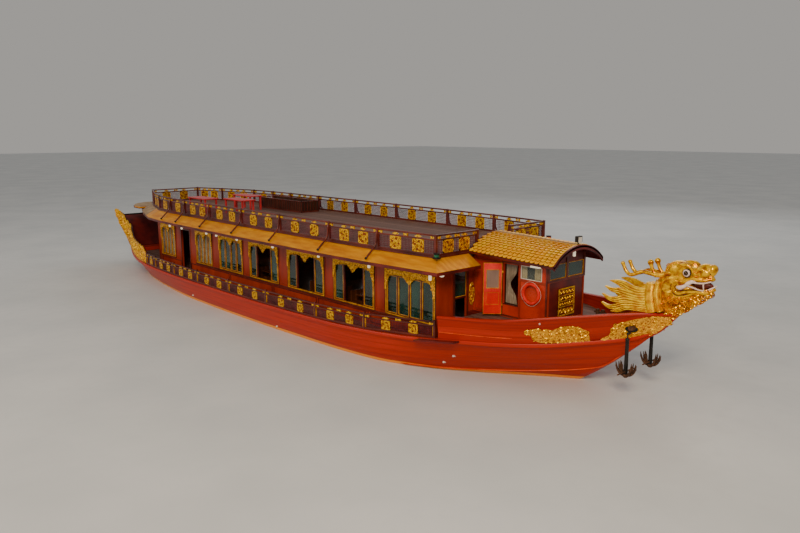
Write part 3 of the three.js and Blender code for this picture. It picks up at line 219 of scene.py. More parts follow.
UPRIGHT = (1, 1, 0.3)
LENGTHWISE = (0.3, 1, 1)
GATHERED = (3, 3, 0.2)
FINISH = {  # the slot and the material of each finish
    # Oil paint and varnish brushed on wood: slow patches of tone, and brush marks that soften the gloss
    "hull": ("hull_paint", varnished_hull()),
    "batten": ("hull_paint", painted("orange_red_gloss_batten", "#F0561A", "#C03408", 0.5, 0.03, 0.3,
                                     coat=0.1)),
    "maroon": ("house_maroon", painted("maroon_oil_paint", "#74201A", "#451010", 0.6, 0.03, 0.4, coat=0.1)),
    "panel": ("house_maroon", painted("red_brown_oil_paint", "#B03A16", "#84200A", 0.7, 0.03, 0.38,
                                      coat=0.08, stretch=UPRIGHT)),
    "lattice": ("house_maroon", painted("plum_lacquered_lattice", "#6C2630", "#42141A", 0.3, 0.02, 0.45)),
    "rail": ("house_maroon", painted("brown_varnished_rail", "#702A1E", "#42120C", 0.35, coat=0.2,
                                     stretch=LENGTHWISE)),
    # the same brown also makes the painted shade in the grooves of the dragon's mane
    "ground": ("house_maroon", painted("red_brown_carving_ground", "#8A3410", "#5E1E08", 0.2, 0.02, 0.5)),
    "trim": ("gilt", painted("ochre_bead_paint", "#E8A826", "#A8660E", 0.2, metallic=0.1)),
    # Enamel, smooth and even: little change of tone and sharper lights
    "red": ("house_red", painted("scarlet_gloss_enamel", "#CC3A16", "#A0240C", 0.5, 0.03, 0.3, coat=0.12)),
    "leaf": ("house_red", painted("door_scarlet_enamel", "#F52E20", "#D01A12", 0.4, 0.03, 0.28, coat=0.2)),
    # dark red enamel also makes the painted shade in the grooves round the dragon's mouth
    "mouth": ("house_maroon", painted("dark_red_enamel", "#6E2A1E", "#3E120E", 0.1, 0.01, 0.4)),
    "white": ("grey_steel", painted("white_enamel", "#EDE6DA", "#CFC6B8", 0.3)),
    "bone": ("grey_steel", painted("ivory_enamel", "#F4E2DA", "#D9B7A8", 0.1, 0.01, 0.3, coat=0.4)),
    "green": ("grey_steel", painted("green_lens_enamel", "#1C7A52", "#0C4A32", 0.05, 0.01, 0.15, coat=0.5)),
    # black enamel also makes the painted shade inside the hawse pipes
    "black": ("iron", painted("black_enamel", "#0E0C0C", "#060505", 0.1, 0.01, 0.15, coat=0.6)),
    "table": ("table_red", painted("pink_red_laminate", "#D8383E", "#B42A30", 0.4)),
    # Gold paint on carved wood, finer or coarser with the carving: a broken glitter, darkened by painted
    # shade in the cuts
    "gilt": ("gilt", gilded("gilded_carving", "#FFCA18", "#964402", metallic=0.5)),
    "fine_gilt": ("gilt", gilded("gilded_fine_carving", "#FFBE2A", "#98400A", 0.028, metallic=0.3,
                                 depth=0.004)),
    "dragon": ("gilt", gilded("gilded_figure", "#FFC600", "#A85400", 0.10, 0.28, 0.7, 0.006)),
    "mane": ("gilt", gilded("gilded_mane", "#FFD018", "#D89004", 0.10, 0.32, 0.6, 0.002)),
    # Yellow glaze on the roofs: wavy and part shiny, with a brown rim of painted shade round each tile
    "glaze": ("roof_tile", painted("yellow_glazed_sheet", "#FFB200", "#DC8400", 0.35, 0.05, 0.4, 0.45,
                                   depth=0.004, stretch=(0.4, 2.2, 1))),
    "tile": ("roof_tile", painted("yellow_glazed_tile", "#FFCA00", "#F8AA00", 0.45, 0.03, 0.4, 0.2,
                                  depth=0.002)),
    # a brown copy of each tile, a little larger and lower, shows round its edge as painted shade
    "tile_edge_shade": ("roof_tile", painted("brown_tile_bed", "#9A5A06", "#6A3A04", 0.3, 0.03, 0.6)),
    # Boards: pale tan, dry and grey where they weather, dark and glossy where they are varnished
    "pale": ("deck_board", painted("sun_bleached_boards", "#B59A76", "#8E7152", 0.4, 0.03, 0.6,
                                   stretch=(0.4, 2, 1))),
    "deck": ("deck_board", boarded("weathered_deck_boards", "#7E5E54", "#5C4038", "#2A1814", 0.14, 1, 0.7)),
    "floor": ("dark_board", boarded("varnished_cabin_floor", "#6A3A22", "#4A2616", "#1E0E08", 0.12, 1, 0.3,
                                    0.3)),
    "coaming": ("dark_board", boarded("dark_varnished_boards", "#4A2A1C", "#2E1710", "#140A06", 0.11, 0,
                                      0.4, 0.3, (14, 14, 0.6))),
    # Cloth: dull, with shade along the folds
    "buoy": ("buoy_red", painted("orange_red_ring_canvas", "#EC2A18", "#C01C10", 0.15, 0.01, 0.5)),
    "curtain": ("house_maroon", painted("grey_linen", "#A89A86", "#7A6C5C", 0.12, 0.01, 0.9,
                                        stretch=GATHERED)),
    "cream": ("house_maroon", painted("cream_linen", "#E8D8A8", "#B49E66", 0.12, 0.01, 0.9,
                                      stretch=GATHERED)),
    # Metals: rust makes cast iron rough and patchy, paint evens it, and bronze keeps a dull shine
    "iron": ("iron", painted("rusted_cast_iron", "#6E4A34", "#33241C", 0.08, 0.012, 0.85, 0.2, depth=0.003)),
    # the same black paint also makes painted shade: the dark sheet behind the wheelhouse side windows
    "dark": ("iron", painted("black_painted_iron", "#2A2624", "#151210", 0.2, 0.02, 0.5, 0.2)),
    "steel": ("grey_steel", painted("grey_painted_steel", "#7A7E80", "#55585A", 0.3, 0.02, 0.4, 0.5)),
    "bronze": ("bronze", painted("cast_bronze", "#A5823A", "#5E4A22", 0.08, 0.01, 0.35, 0.9)),
    # Glass: dark and tinted, ground to a dull brown, or clear; a smooth coat gives it clean reflections
    "glass": ("glazing_gilt", window_glass("tinted_glass", "#1E4A40", "#141C1C", 0.78)),
    "frosted": ("glazing_gilt", window_glass("frosted_glass", "#92705E", "#6E5044", 1.0)),
    "clear": ("glazing_gilt", window_glass("clear_glass", "#9AA8A0", "#6A7A74", 0.22)),
    "lamp": ("grey_steel", lamp_glass()),
}


# Pieces

def on_axis(u, v, w, axis):
    """A point with w along one axis, and u and v along the two others."""
    return ((w, u, v), (u, w, v), (u, v, w))[axis]


class Solids:
    """Closed solids gathered into one mesh."""

    def __init__(self):
        self.points = []
        self.faces = []

    def add(self, points, faces, matrix=None):
        start = len(self.points)
        self.points += [matrix @ Vector(p) if matrix else Vector(p) for p in points]
        self.faces += [tuple(start + i for i in face) for face in faces]

    def box(self, low, high, matrix=None):
        (x0, y0, z0), (x1, y1, z1) = low, high
        points = [(x, y, z) for x in (x0, x1) for y in (y0, y1) for z in (z0, z1)]
        faces = [(0, 1, 3, 2), (4, 6, 7, 5), (0, 4, 5, 1), (2, 3, 7, 6), (0, 2, 6, 4), (1, 5, 7, 3)]
        self.add(points, faces, matrix)

    def loft(self, rings, looped=False, matrix=None):
        """A skin through rings of equal point count, closed by end faces or joined into a loop."""
        count = len(rings[0])
        faces = []
        for i in range(len(rings) if looped else len(rings) - 1):
            here, there = i * count, ((i + 1) % len(rings)) * count
            faces += [(here + j, there + j, there + (j + 1) % count, here + (j + 1) % count)
                      for j in range(count)]
        if not looped:
            last = (len(rings) - 1) * count
            faces += [tuple(range(count)), tuple(reversed(range(last, last + count)))]
        self.add([p for ring in rings for p in ring], faces, matrix)

    def tube(self, path, radii, sides=8, flat=1.0):
        """A round bar along a path, one radius a point; flat squeezes it upright."""
        path = [Vector(p) for p in path]
        if isinstance(radii, float):
            radii = [radii] * len(path)
        rings = []
        for i, point in enumerate(path):
            along = (path[min(i + 1, len(path) - 1)] - path[max(i - 1, 0)]).normalized()
            across = along.cross(Vector((0, 0, 1)))
            across = across.normalized() if across.length > 1e-4 else Vector((0, 1, 0))
            lift = across.cross(along)
            turns = [2 * math.pi * k / sides for k in range(sides)]
            rings.append([point + across * (radii[i] * math.cos(t)) + lift * (radii[i] * flat * math.sin(t))
                          for t in turns])
        self.loft(rings)

    def prism(self, outline, low, high, axis=1):
        """An outline in the two other axes pushed from low to high along one axis."""
        self.loft([[on_axis(u, v, w, axis) for u, v in outline] for w in (low, high)])

    def mesh(self, name):
        mesh = bpy.data.meshes.new(name)
        mesh.from_pydata(self.points, [], self.faces)
        work = bmesh.new()
        work.from_mesh(mesh)
        bmesh.ops.recalc_face_normals(work, faces=work.faces)
        work.to_mesh(mesh)
        work.free()
        return mesh


def finished(obj, finish, body="vessel", replaces=(), crease=35):
    """Gives a piece its finish, its smooth shading and the body it rides on."""
    slot, material = FINISH[finish]
    obj.data.materials.clear()
    obj.data.materials.append(material)
    obj.data.shade_smooth()
    obj.data.set_sharp_from_angle(angle=math.radians(crease))
    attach(obj, body)
    if replaces:
        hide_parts(*replaces)
    return obj


def linked(name, mesh):
    obj = bpy.data.objects.new(name, mesh)
    bpy.context.scene.collection.objects.link(obj)
    return obj


def as_piece(name, solids, finish, body="vessel", replaces=(), crease=35, bevel=0.0):
    """Solids as one piece of the boat, their edges broken by a bevel in metres where one is given."""
    obj = linked(name, solids.mesh(name))
    if bevel:
        baked(obj, "BEVEL", width=bevel, segments=1, limit_method="ANGLE")
    return finished(obj, finish, body, replaces, crease)


class Kit:
    """The solids of one assembly, by finish; each finish becomes one piece."""

    def __init__(self, name, body="vessel", replaces=()):
        self.name, self.body, self.replaces = name, body, replaces
        self.parts = {}

    def of(self, finish):
        return self.parts.setdefault(finish, Solids())

    def done(self, crease=35, bevel=0.0):
        return [as_piece(f"{self.name}_{finish}", solids, finish, self.body, () if i else self.replaces,
                         crease, bevel)
                for i, (finish, solids) in enumerate(self.parts.items())]


def baked(obj, kind, **settings):
    """Adds a modifier and applies it to the mesh."""
    modifier = obj.modifiers.new(kind.lower(), kind)
    for key, value in settings.items():
        setattr(modifier, key, value)
    bake(obj)


def bake(obj):
    graph = bpy.context.evaluated_depsgraph_get()
    old = obj.data
    mesh = bpy.data.meshes.new_from_object(obj.evaluated_get(graph), depsgraph=graph)
    obj.modifiers.clear()
    obj.data = mesh
    mesh.name = old.name


# Setting out: one tree puts a pattern piece on every point, turned and sized by the point's own values

def setting_out_tree():
    tree = bpy.data.node_groups.new("setting_out", "GeometryNodeTree")
    sockets = {}
    for name, kind in (("Points", "Geometry"), ("Pattern piece", "Object"), ("Finish", "Material")):
        socket = tree.interface.new_socket(name, in_out="INPUT", socket_type=f"NodeSocket{kind}")
        sockets[name] = socket.identifier
    tree.interface.new_socket("Pieces", in_out="OUTPUT", socket_type="NodeSocketGeometry")
    points, shape, material = [add(tree, "NodeGroupInput", out=name) for name in sockets]
    pattern = add(tree, "GeometryNodeObjectInfo", {"Object": shape}, "Geometry")
    turn, size = [add(tree, "GeometryNodeInputNamedAttribute", {"Name": name}, data_type="FLOAT_VECTOR")
                  for name in ("turn", "size")]
    placed = add(tree, "GeometryNodeInstanceOnPoints", {
        "Points": points, "Instance": pattern, "Rotation": turn, "Scale": size})
    real = add(tree, "GeometryNodeRealizeInstances", {0: placed})
    finish = add(tree, "GeometryNodeSetMaterial", {"Geometry": real, "Material": material})
    add(tree, "NodeGroupOutput", {0: finish})
    return tree, sockets


SETTING_OUT, SOCKETS = setting_out_tree()
Place = namedtuple("Place", "at turn size")


def set_out(name, pattern, places, finish, crease=35):
    """A piece made of copies of a pattern, one at each place."""
    points = bpy.data.meshes.new(name)
    points.from_pydata([p.at for p in places], [], [])
    for key in ("turn", "size"):
        attribute = points.attributes.new(key, "FLOAT_VECTOR", "POINT")
        attribute.data.foreach_set("vector", [v for place in places for v in getattr(place, key)])
    obj = linked(name, points)
    shape = linked(name + "_pattern", pattern.mesh(name + "_pattern"))
    modifier = obj.modifiers.new("setting_out", "NODES")
    modifier.node_group = SETTING_OUT
    modifier[SOCKETS["Pattern piece"]] = shape
    modifier[SOCKETS["Finish"]] = FINISH[finish][1]
    bpy.context.view_layer.update()
    bake(obj)
    bpy.data.objects.remove(shape)
    for key in ("turn", "size"):
        if key in obj.data.attributes:
            obj.data.attributes.remove(obj.data.attributes[key])
    return finished(obj, finish, crease=crease)


def unit_bar():
    bar = Solids()
    bar.box((-0.5, -0.5, -0.5), (0.5, 0.5, 0.5))
    return bar


# Curves through the tables of the boat's shape

class Curve:
    """Columns of a table as smooth curves of x that never overshoot its rows."""

    def __init__(self, rows):
        self.rows = rows
        self.slopes = {}

    def slope(self, column):
        if column not in self.slopes:
            values = [(r.x, getattr(r, column)) for r in self.rows]
            steps = [(b[1] - a[1]) / (b[0] - a[0]) for a, b in zip(values, values[1:])]
            inner = [2 * p * q / (p + q) if p * q > 0 else 0.0 for p, q in zip(steps, steps[1:])]
            self.slopes[column] = [steps[0]] + inner + [steps[-1]]
        return self.slopes[column]

    def at(self, column, x):
        rows, slopes = self.rows, self.slope(column)
        x = min(max(x, rows[0].x), rows[-1].x)
        i = max(k for k in range(len(rows) - 1) if rows[k].x <= x)
        a, b = rows[i], rows[i + 1]
        span = b.x - a.x
        t = (x - a.x) / span
        va, vb = getattr(a, column), getattr(b, column)
        return (va * (1 + 2 * t) * (1 - t) ** 2 + slopes[i] * span * t * (1 - t) ** 2
                + vb * t * t * (3 - 2 * t) + slopes[i + 1] * span * t * t * (t - 1))


HullRow = namedtuple("HullRow", "x keel_z bilge bilge_z chine chine_z sheer sheer_z")
HULL = Curve([HullRow(*row) for row in (
    (-15.40, 1.00, 1.50, 1.01, 1.90, 1.04, 2.15, 1.19),
    (-14.60, 0.52, 1.50, 0.54, 2.06, 0.64, 2.45, 1.13),
    (-13.30, -0.03, 1.60, 0.00, 2.28, 0.13, 2.90, 1.06),
    (-11.50, -0.40, 1.75, -0.33, 2.74, 0.06, 3.36, 1.01),
    (-9.00, -0.78, 2.10, -0.66, 3.20, 0.04, 3.70, 0.98),
    (-5.00, -0.90, 2.55, -0.80, 3.66, 0.04, 3.90, 0.97),
    (0.00, -0.90, 2.65, -0.82, 3.78, 0.04, 3.95, 0.97),
    (5.00, -0.90, 2.50, -0.80, 3.70, 0.04, 3.88, 1.01),
    (7.50, -0.88, 2.15, -0.72, 3.50, 0.05, 3.72, 1.09),
    (9.50, -0.82, 1.50, -0.62, 2.80, 0.08, 3.42, 1.20),
    (11.00, -0.68, 0.88, -0.47, 1.95, 0.14, 2.88, 1.30),
    (12.20, -0.44, 0.42, -0.26, 1.18, 0.22, 2.34, 1.36),
    (13.20, -0.15, 0.17, -0.04, 0.56, 0.34, 1.68, 1.42),
    (14.20, 0.47, 0.06, 0.50, 0.13, 0.57, 0.90, 1.56),
    (15.25, 1.33, 0.04, 1.35, 0.06, 1.39, 0.30, 1.78),
    (15.96, 1.99, 0.015, 2.00, 0.02, 2.012, 0.04, 2.04),
)])
BowRow = namedtuple("BowRow", "x foot foot_z gunwale gunwale_z")
BOW = Curve([BowRow(*row) for row in (
    (10.30, 2.70, 1.00, 3.20, 1.97),
    (12.20, 1.90, 1.15, 2.64, 2.10),
    (13.40, 1.10, 1.28, 1.95, 2.27),
    (14.40, 0.50, 1.45, 1.22, 2.41),
    (15.35, 0.12, 1.65, 0.65, 2.55),
    (16.00, 0.05, 1.975, 0.28, 2.62),
    (16.60, 0.02, 2.60, 0.06, 2.66),
)])
RUB_OUT = 0.045
RUB_FOOT = 0.12
TOE = 0.13
WELL = (-14.80, 10.15)
FOREWELL = (10.30, 15.35)


def spread(low, high, step):
    count = max(1, round((high - low) / step))
    return [low + (high - low) * i / count for i in range(count + 1)]


def girth_map(mesh):
    """Lays x along and the height over the sheer across, for the strakes."""
    layer = mesh.uv_layers.new(name="girth")
    for loop in mesh.loops:
        point = mesh.vertices[loop.vertex_index].co
        layer.data[loop.index].uv = (point.x, point.z - HULL.at("sheer_z", point.x))


def half_rings(xs, half_ring):
    """Rings of a hull body, from one side's points keel to centre, mirrored."""
    rings = []
    for x, deck in xs:
        half = half_ring(x, deck)
        rings.append([(x, -y, z) for y, z in half] + [(x, y, z) for y, z in reversed(half[1:-1])])
    return rings


def across(line, z):
    """Half breadth at height z on a line of half breadth and height."""
    for (ya, za), (yb, zb) in zip(line, line[1:]):
        if z <= zb:
            return ya + (yb - ya) * (z - za) / (zb - za)
    return line[-1][0]


LINING = 0.06
BULWARK = 0.21


def planking_half(x, z):
    """Half breadth of the hull's side between chine and sheer."""
    return across([(HULL.at(line, x), HULL.at(line + "_z", x)) for line in ("chine", "sheer")], z)


def well_half(x):
    """Half breadth of the main deck inside the planking."""
    return min(HULL.at("sheer", x) - TOE, planking_half(x, MAIN_DECK) - LINING)


STEM_AFT, STEM_RUN = 15.6, 0.5


def bow_flare(x):
    """Outer face of the bow bulwark from the sheer to the gunwale."""
    gunwale, top = BOW.at("gunwale", x), BOW.at("gunwale_z", x)
    stem = min(max((x - STEM_AFT) / STEM_RUN, 0.0), 1.0)
    half = (HULL.at("sheer", x) - 0.012) * (1 - stem) + (BOW.at("foot", x) + 0.012) * stem
    height = (HULL.at("sheer_z", x) - 0.03) * (1 - stem) + (BOW.at("foot_z", x) + 0.03) * stem
    flare = [(half + (gunwale - half) * out, height + (top - height) * up)
             for out, up in ((0.38, 0.45), (0.72, 0.75))]
    return [(half, height)] + flare + [(gunwale, top - 0.05)]


def forewell_half(x):
    """Half breadth of the foredeck inside the bulwark."""
    return min(BOW.at("gunwale", x) - BULWARK, across(bow_flare(x), FOREDECK) - LINING)


def hull_half(x, sunk):
    """Keel, bilge, chine, rub rail, toe rail and deck of one side at x."""
    def at(column):
        return HULL.at(column, x)
    sheer, top, chine, chine_z = at("sheer"), at("sheer_z"), at("chine"), at("chine_z")
    deep = min(RUB_FOOT, (top - chine_z) * 0.6)
    inset = (sheer - chine) * deep / (top - chine_z)
    out = min(RUB_OUT, sheer * 0.4)
    inner = max(sheer - TOE, sheer * 0.3)
    deck_half, deck_z = (well_half(x), MAIN_DECK) if sunk else (inner, top - 0.002)
    return [(0.0, at("keel_z")), (at("bilge"), at("bilge_z")),
            ((at("bilge") + chine) / 2 + 0.04 * chine, at("bilge_z") * 0.55 + chine_z * 0.45),
            (chine, chine_z), ((chine + sheer - inset) / 2, (chine_z + top - deep) / 2 - 0.01),
            (sheer - inset, top - deep), (sheer + out * 0.8, top - deep), (sheer + out, top - deep * 0.75),
            (sheer + out, top - deep * 0.3), (sheer + out * 0.7, top - deep * 0.08),
            (sheer - 0.02, top), (inner, top), (deck_half, deck_z), (0.0, deck_z)]


def bow_half(x, sunk):
    """Foot, flared side, gunwale cap and foredeck of one side at x."""
    gunwale, top = BOW.at("gunwale", x), BOW.at("gunwale_z", x)
    foot, foot_z = BOW.at("foot", x), BOW.at("foot_z", x)
    cap = min(0.03, gunwale * 0.3)
    inner = max(gunwale - 0.15, gunwale * 0.35)
    deck_half, deck = (forewell_half(x), FOREDECK) if sunk else (inner, top + 0.028)
    return [(0.0, foot_z - 0.004), (foot, foot_z)] + bow_flare(x) + [
        (gunwale + cap, top - 0.045), (gunwale + cap, top + 0.01), (gunwale + cap * 0.4, top + 0.03),
        (inner + 0.02, top + 0.03), (inner - 0.01, top + 0.01), (inner, top - 0.04),
        (deck_half, deck), (0.0, deck)]


def lofted_hull(name, stations, half_ring, replaces):
    solids = Solids()
    solids.loft(half_rings(stations, half_ring))
    obj = linked(name, solids.mesh(name))
    girth_map(obj.data)
    finished(obj, "hull", replaces=replaces, crease=40)


STATION = 0.4
hull_stations = [(x, False) for x in spread(HULL.rows[0].x, WELL[0], STATION)]
hull_stations += [(x, True) for x in spread(WELL[0] + 0.001, WELL[1], STATION)]
hull_stations += [(x, False) for x in spread(WELL[1] + 0.001, HULL.rows[-1].x, STATION / 2)]
lofted_hull("hull_planking", hull_stations, hull_half,
            ["hull", "stern_block", "toe_rail_starboard", "toe_rail_port"])
bow_stations = [(x, True) for x in spread(*FOREWELL, STATION / 2)]
bow_stations += [(x, False) for x in spread(FOREWELL[1] + 0.001, BOW.rows[-1].x, STATION / 4)]
lofted_hull("bow_bulwark", bow_stations, bow_half, ["bow_block", "bulwark_starboard", "bulwark_port"])


def repaint(finish, *nodes):
    """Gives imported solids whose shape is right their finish."""
    for node in nodes:
        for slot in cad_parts[node].material_slots:
            slot.material = FINISH[finish][1]


def both(name):
    return [f"{name}_starboard", f"{name}_port"]


def arc_points(centre, radius, start, end, count):
    """Points of an arc in two axes, angles in degrees."""
    return [(centre[0] + radius * math.cos(math.radians(start + (end - start) * i / count)),
             centre[1] + radius * math.sin(math.radians(start + (end - start) * i / count)))
            for i in range(count + 1)]


def ring_of(centre, radius, tube, axis=1, turns=32, sides=10):
    """A closed round ring in the plane across one axis."""
    solids = Solids()
    rings = []
    for i in range(turns):
        a = 2 * math.pi * i / turns
        ring = []
        for k in range(sides):
            b = 2 * math.pi * k / sides
            out = radius + tube * math.cos(b)
            ring.append(on_axis(out * math.cos(a), out * math.sin(a), tube * math.sin(b), axis))
        rings.append([tuple(c + d for c, d in zip(centre, p)) for p in ring])
    solids.loft(rings, looped=True)
    return solids


def ball(solids, centre, radii, turns=20, rows=12):
    """An ellipsoid."""
    rings = []
    for i in range(rows + 1):
        a = math.pi * (0.02 + 0.96 * i / rows)
        rings.append([(centre[0] + radii[0] * math.sin(a) * math.cos(2 * math.pi * k / turns),
                       centre[1] + radii[1] * math.sin(a) * math.sin(2 * math.pi * k / turns),
                       centre[2] + radii[2] * math.cos(a)) for k in range(turns)])
    solids.loft(rings)


# Under the water: skeg, shaft tubes, struts and rudder bosses; at the bow the hawse pipes
SHAFT_Y, SHAFT_Z = 1.10, -0.64
RUDDER_X = -12.8
HAWSE = (15.45, 0.56, 2.12)
TUBE_AFT = -11.9147
gear = Kit("stern_gear")
skeg = [(-12.7, -0.78), (-7.3, -0.96), (11.0, -0.88), (11.0, -0.60), (-12.7, -0.12)]
gear.of("maroon").prism(skeg, -0.05, 0.05)
for _, side in SIDES:
    y = side * SHAFT_Y
    gear.of("maroon").tube([(x, y, SHAFT_Z) for x in (TUBE_AFT, -11.0, -9.6)], 0.055, 16)
    gear.of("maroon").box((-11.85, y - 0.015, SHAFT_Z), (-11.67, y + 0.015, -0.2))
    gear.of("maroon").tube([(RUDDER_X, y, z) for z in (-0.2, -0.12, -0.04)], 0.085, 20)
gear.done(bevel=0.006)
for name, side in SIDES:
    hawse = Kit(f"hawse_{name}")
    hawse.of("iron").tube([(HAWSE[0], side * y, HAWSE[2]) for y in (0.30, 0.45, 0.55)], 0.075, 20)
    hawse.done()

# Decks: boards laid over the sunk decks, and the step between them


def mirrored(plan):
    """A closed outline from points of x and half breadth, starboard first."""
    return [(x, -y) for x, y in plan] + [(x, y) for x, y in reversed(plan)]


decks = Kit("decking")
for half_at, (aft_x, fore_x), step, deck, thick in ((well_half, WELL, 0.4, MAIN_DECK, 0.018),
                                                    (forewell_half, FOREWELL, 0.2, FOREDECK, 0.016)):
    plan = [(x, half_at(x) - 0.004) for x in spread(aft_x + 0.01, fore_x - 0.01, step)]
    decks.of("deck").prism(mirrored(plan), deck + 0.0005, deck + thick, axis=2)
decks.of("maroon").box((9.8503, -1.30, MAIN_DECK), (10.295, 1.30, FOREDECK))
decks.done()

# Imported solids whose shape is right, in their finishes
repaint("floor", "saloon_floor", "stair")
repaint("coaming", "stair_coaming", "helm_console")
repaint("deck", "upper_deck")
repaint("steel", "engine_starboard", "engine_port")
repaint("table", "upper_table_a", "upper_table_b", "upper_table_c")
repaint("maroon", "saloon_wall_aft", "transom_board", "wheelhouse_front", "wheelhouse_roof", *both("rudder"),
        *both("boarding_ledge"))
repaint("panel", *both("saloon_wall"), "saloon_wall_front")
repaint("bronze", *both("propeller"))
repaint("iron", *both("bollard"), *both("anchor"))
repaint("glaze", "eave_roof")
repaint("red", *both("wheelhouse_side"))
repaint("leaf", *both("wheelhouse_door"))
repaint("dark", "floodlight")
repaint("buoy", "lifebuoy")


# Fences

Fence = namedtuple("Fence", """post post_top rail foot_rail panel_top mid_top mid_rail
                               top_foot top_height top_width""")
UPPER = Fence(0.090, 0.705, 0.070, 0.070, 0.490, 0.540, 0.050, 0.630, 0.060, 0.080)
WALK = Fence(0.080, 0.600, 0.070, 0.070, 0.380, 0.425, 0.050, 0.500, 0.055, 0.076)
LATTICE_PITCH = 0.064
LATTICE_BAR = 0.019
SQUARE_ASPECT = 1.16
SQUARE_PLACES = (0.29, 0.68)
CARVING_DEPTH = 0.034
BLOCK_DEPTH = 0.040
TIE_WIDTH = 0.20
CLOUD_WIDTH = 0.27
CORNERS = ((-1, -1), (1, -1), (1, 1), (-1, 1))


def bay_frame(a, b):
    """A bay's own axes: x along it and following its slope, z upright; and its length."""
    run = Vector((b[0] - a[0], b[1] - a[1], 0.0))
    length = run.length
    u = run / length
    rise = (b[2] - a[2]) / length
    matrix = Matrix(((u.x, -u.y, 0, a[0]), (u.y, u.x, 0, a[1]), (rise, 0, 1, a[2]), (0, 0, 0, 1)))
    return matrix, length, math.atan2(u.y, u.x), math.atan(rise)


def square_centres(length, form):
    width = (form.panel_top - form.foot_rail) * SQUARE_ASPECT
    if length > 2.4 * width + 0.6:
        return [length * t for t in SQUARE_PLACES]
    return [length / 2] if length > width + 0.35 else []


def fret_square():
    """A unit square of carved fretwork: frame, lozenge, four fans and corner scrolls."""
    fret = Solids()
    edge, deep = 0.10, 0.5
    for low, high in (((-0.5, -0.5), (0.5, -0.5 + edge)), ((-0.5, 0.5 - edge), (0.5, 0.5)),
                      ((-0.5, -0.5), (-0.5 + edge, 0.5)), ((0.5 - edge, -0.5), (0.5, 0.5))):
        fret.box((low[0], -deep, low[1]), (high[0], deep, high[1]))
    for turn in range(4):
        spin = Matrix.Rotation(math.pi / 2 * turn, 4, "Y")
        for path, width in (
                ([(0.0, 0.20), (0.10, 0.12), (0.20, 0.0)], 0.08),
                ([(0.0, 0.34), (0.09, 0.38), (0.15, 0.31), (0.10, 0.25), (0.03, 0.27)], 0.07),
                ([(0.20, 0.20), (0.30, 0.19), (0.37, 0.27), (0.31, 0.36), (0.22, 0.34), (0.22, 0.27)], 0.07),
                ([(0.12, 0.12), (0.20, 0.20)], 0.08), ([(0.0, 0.0), (0.0, 0.16)], 0.10)):
            rings = []
            for i, (u, v) in enumerate(path):
                a, b = path[max(i - 1, 0)], path[min(i + 1, len(path) - 1)]
                along = Vector((b[0] - a[0], 0, b[1] - a[1])).normalized()
                at = Vector((u, 0, v))
                half = Vector((along.z, 0, -along.x)) * width * 0.5
                back = Vector((0, deep * 0.7, 0))
                rings.append([at + half - back, at + half + back, at - half + back, at - half - back])
            fret.loft(rings, matrix=spin)
    return fret


def cloud_block():
    """A unit block with three lobes, the small carved cloud between two rails."""
    outline = []
    for centre, radius, start, end in (((-0.30, -0.12), 0.22, 250, 90), ((0.0, 0.14), 0.30, 170, 10),
                                       ((0.30, -0.12), 0.22, 90, -70)):
        outline += arc_points(centre, radius, start, end, 4)
    cloud = Solids()
    cloud.prism(outline + [(0.12, -0.42), (-0.12, -0.42)], -0.5, 0.5)
    return cloud


def bow_tie():
    tie = Solids()
    tie.prism([(-0.5, -0.45), (-0.42, -0.5), (0.0, -0.2), (0.42, -0.5), (0.5, -0.45),
               (0.5, 0.45), (0.42, 0.5), (0.0, 0.2), (-0.42, 0.5), (-0.5, 0.45)], -0.5, 0.5)
    return tie


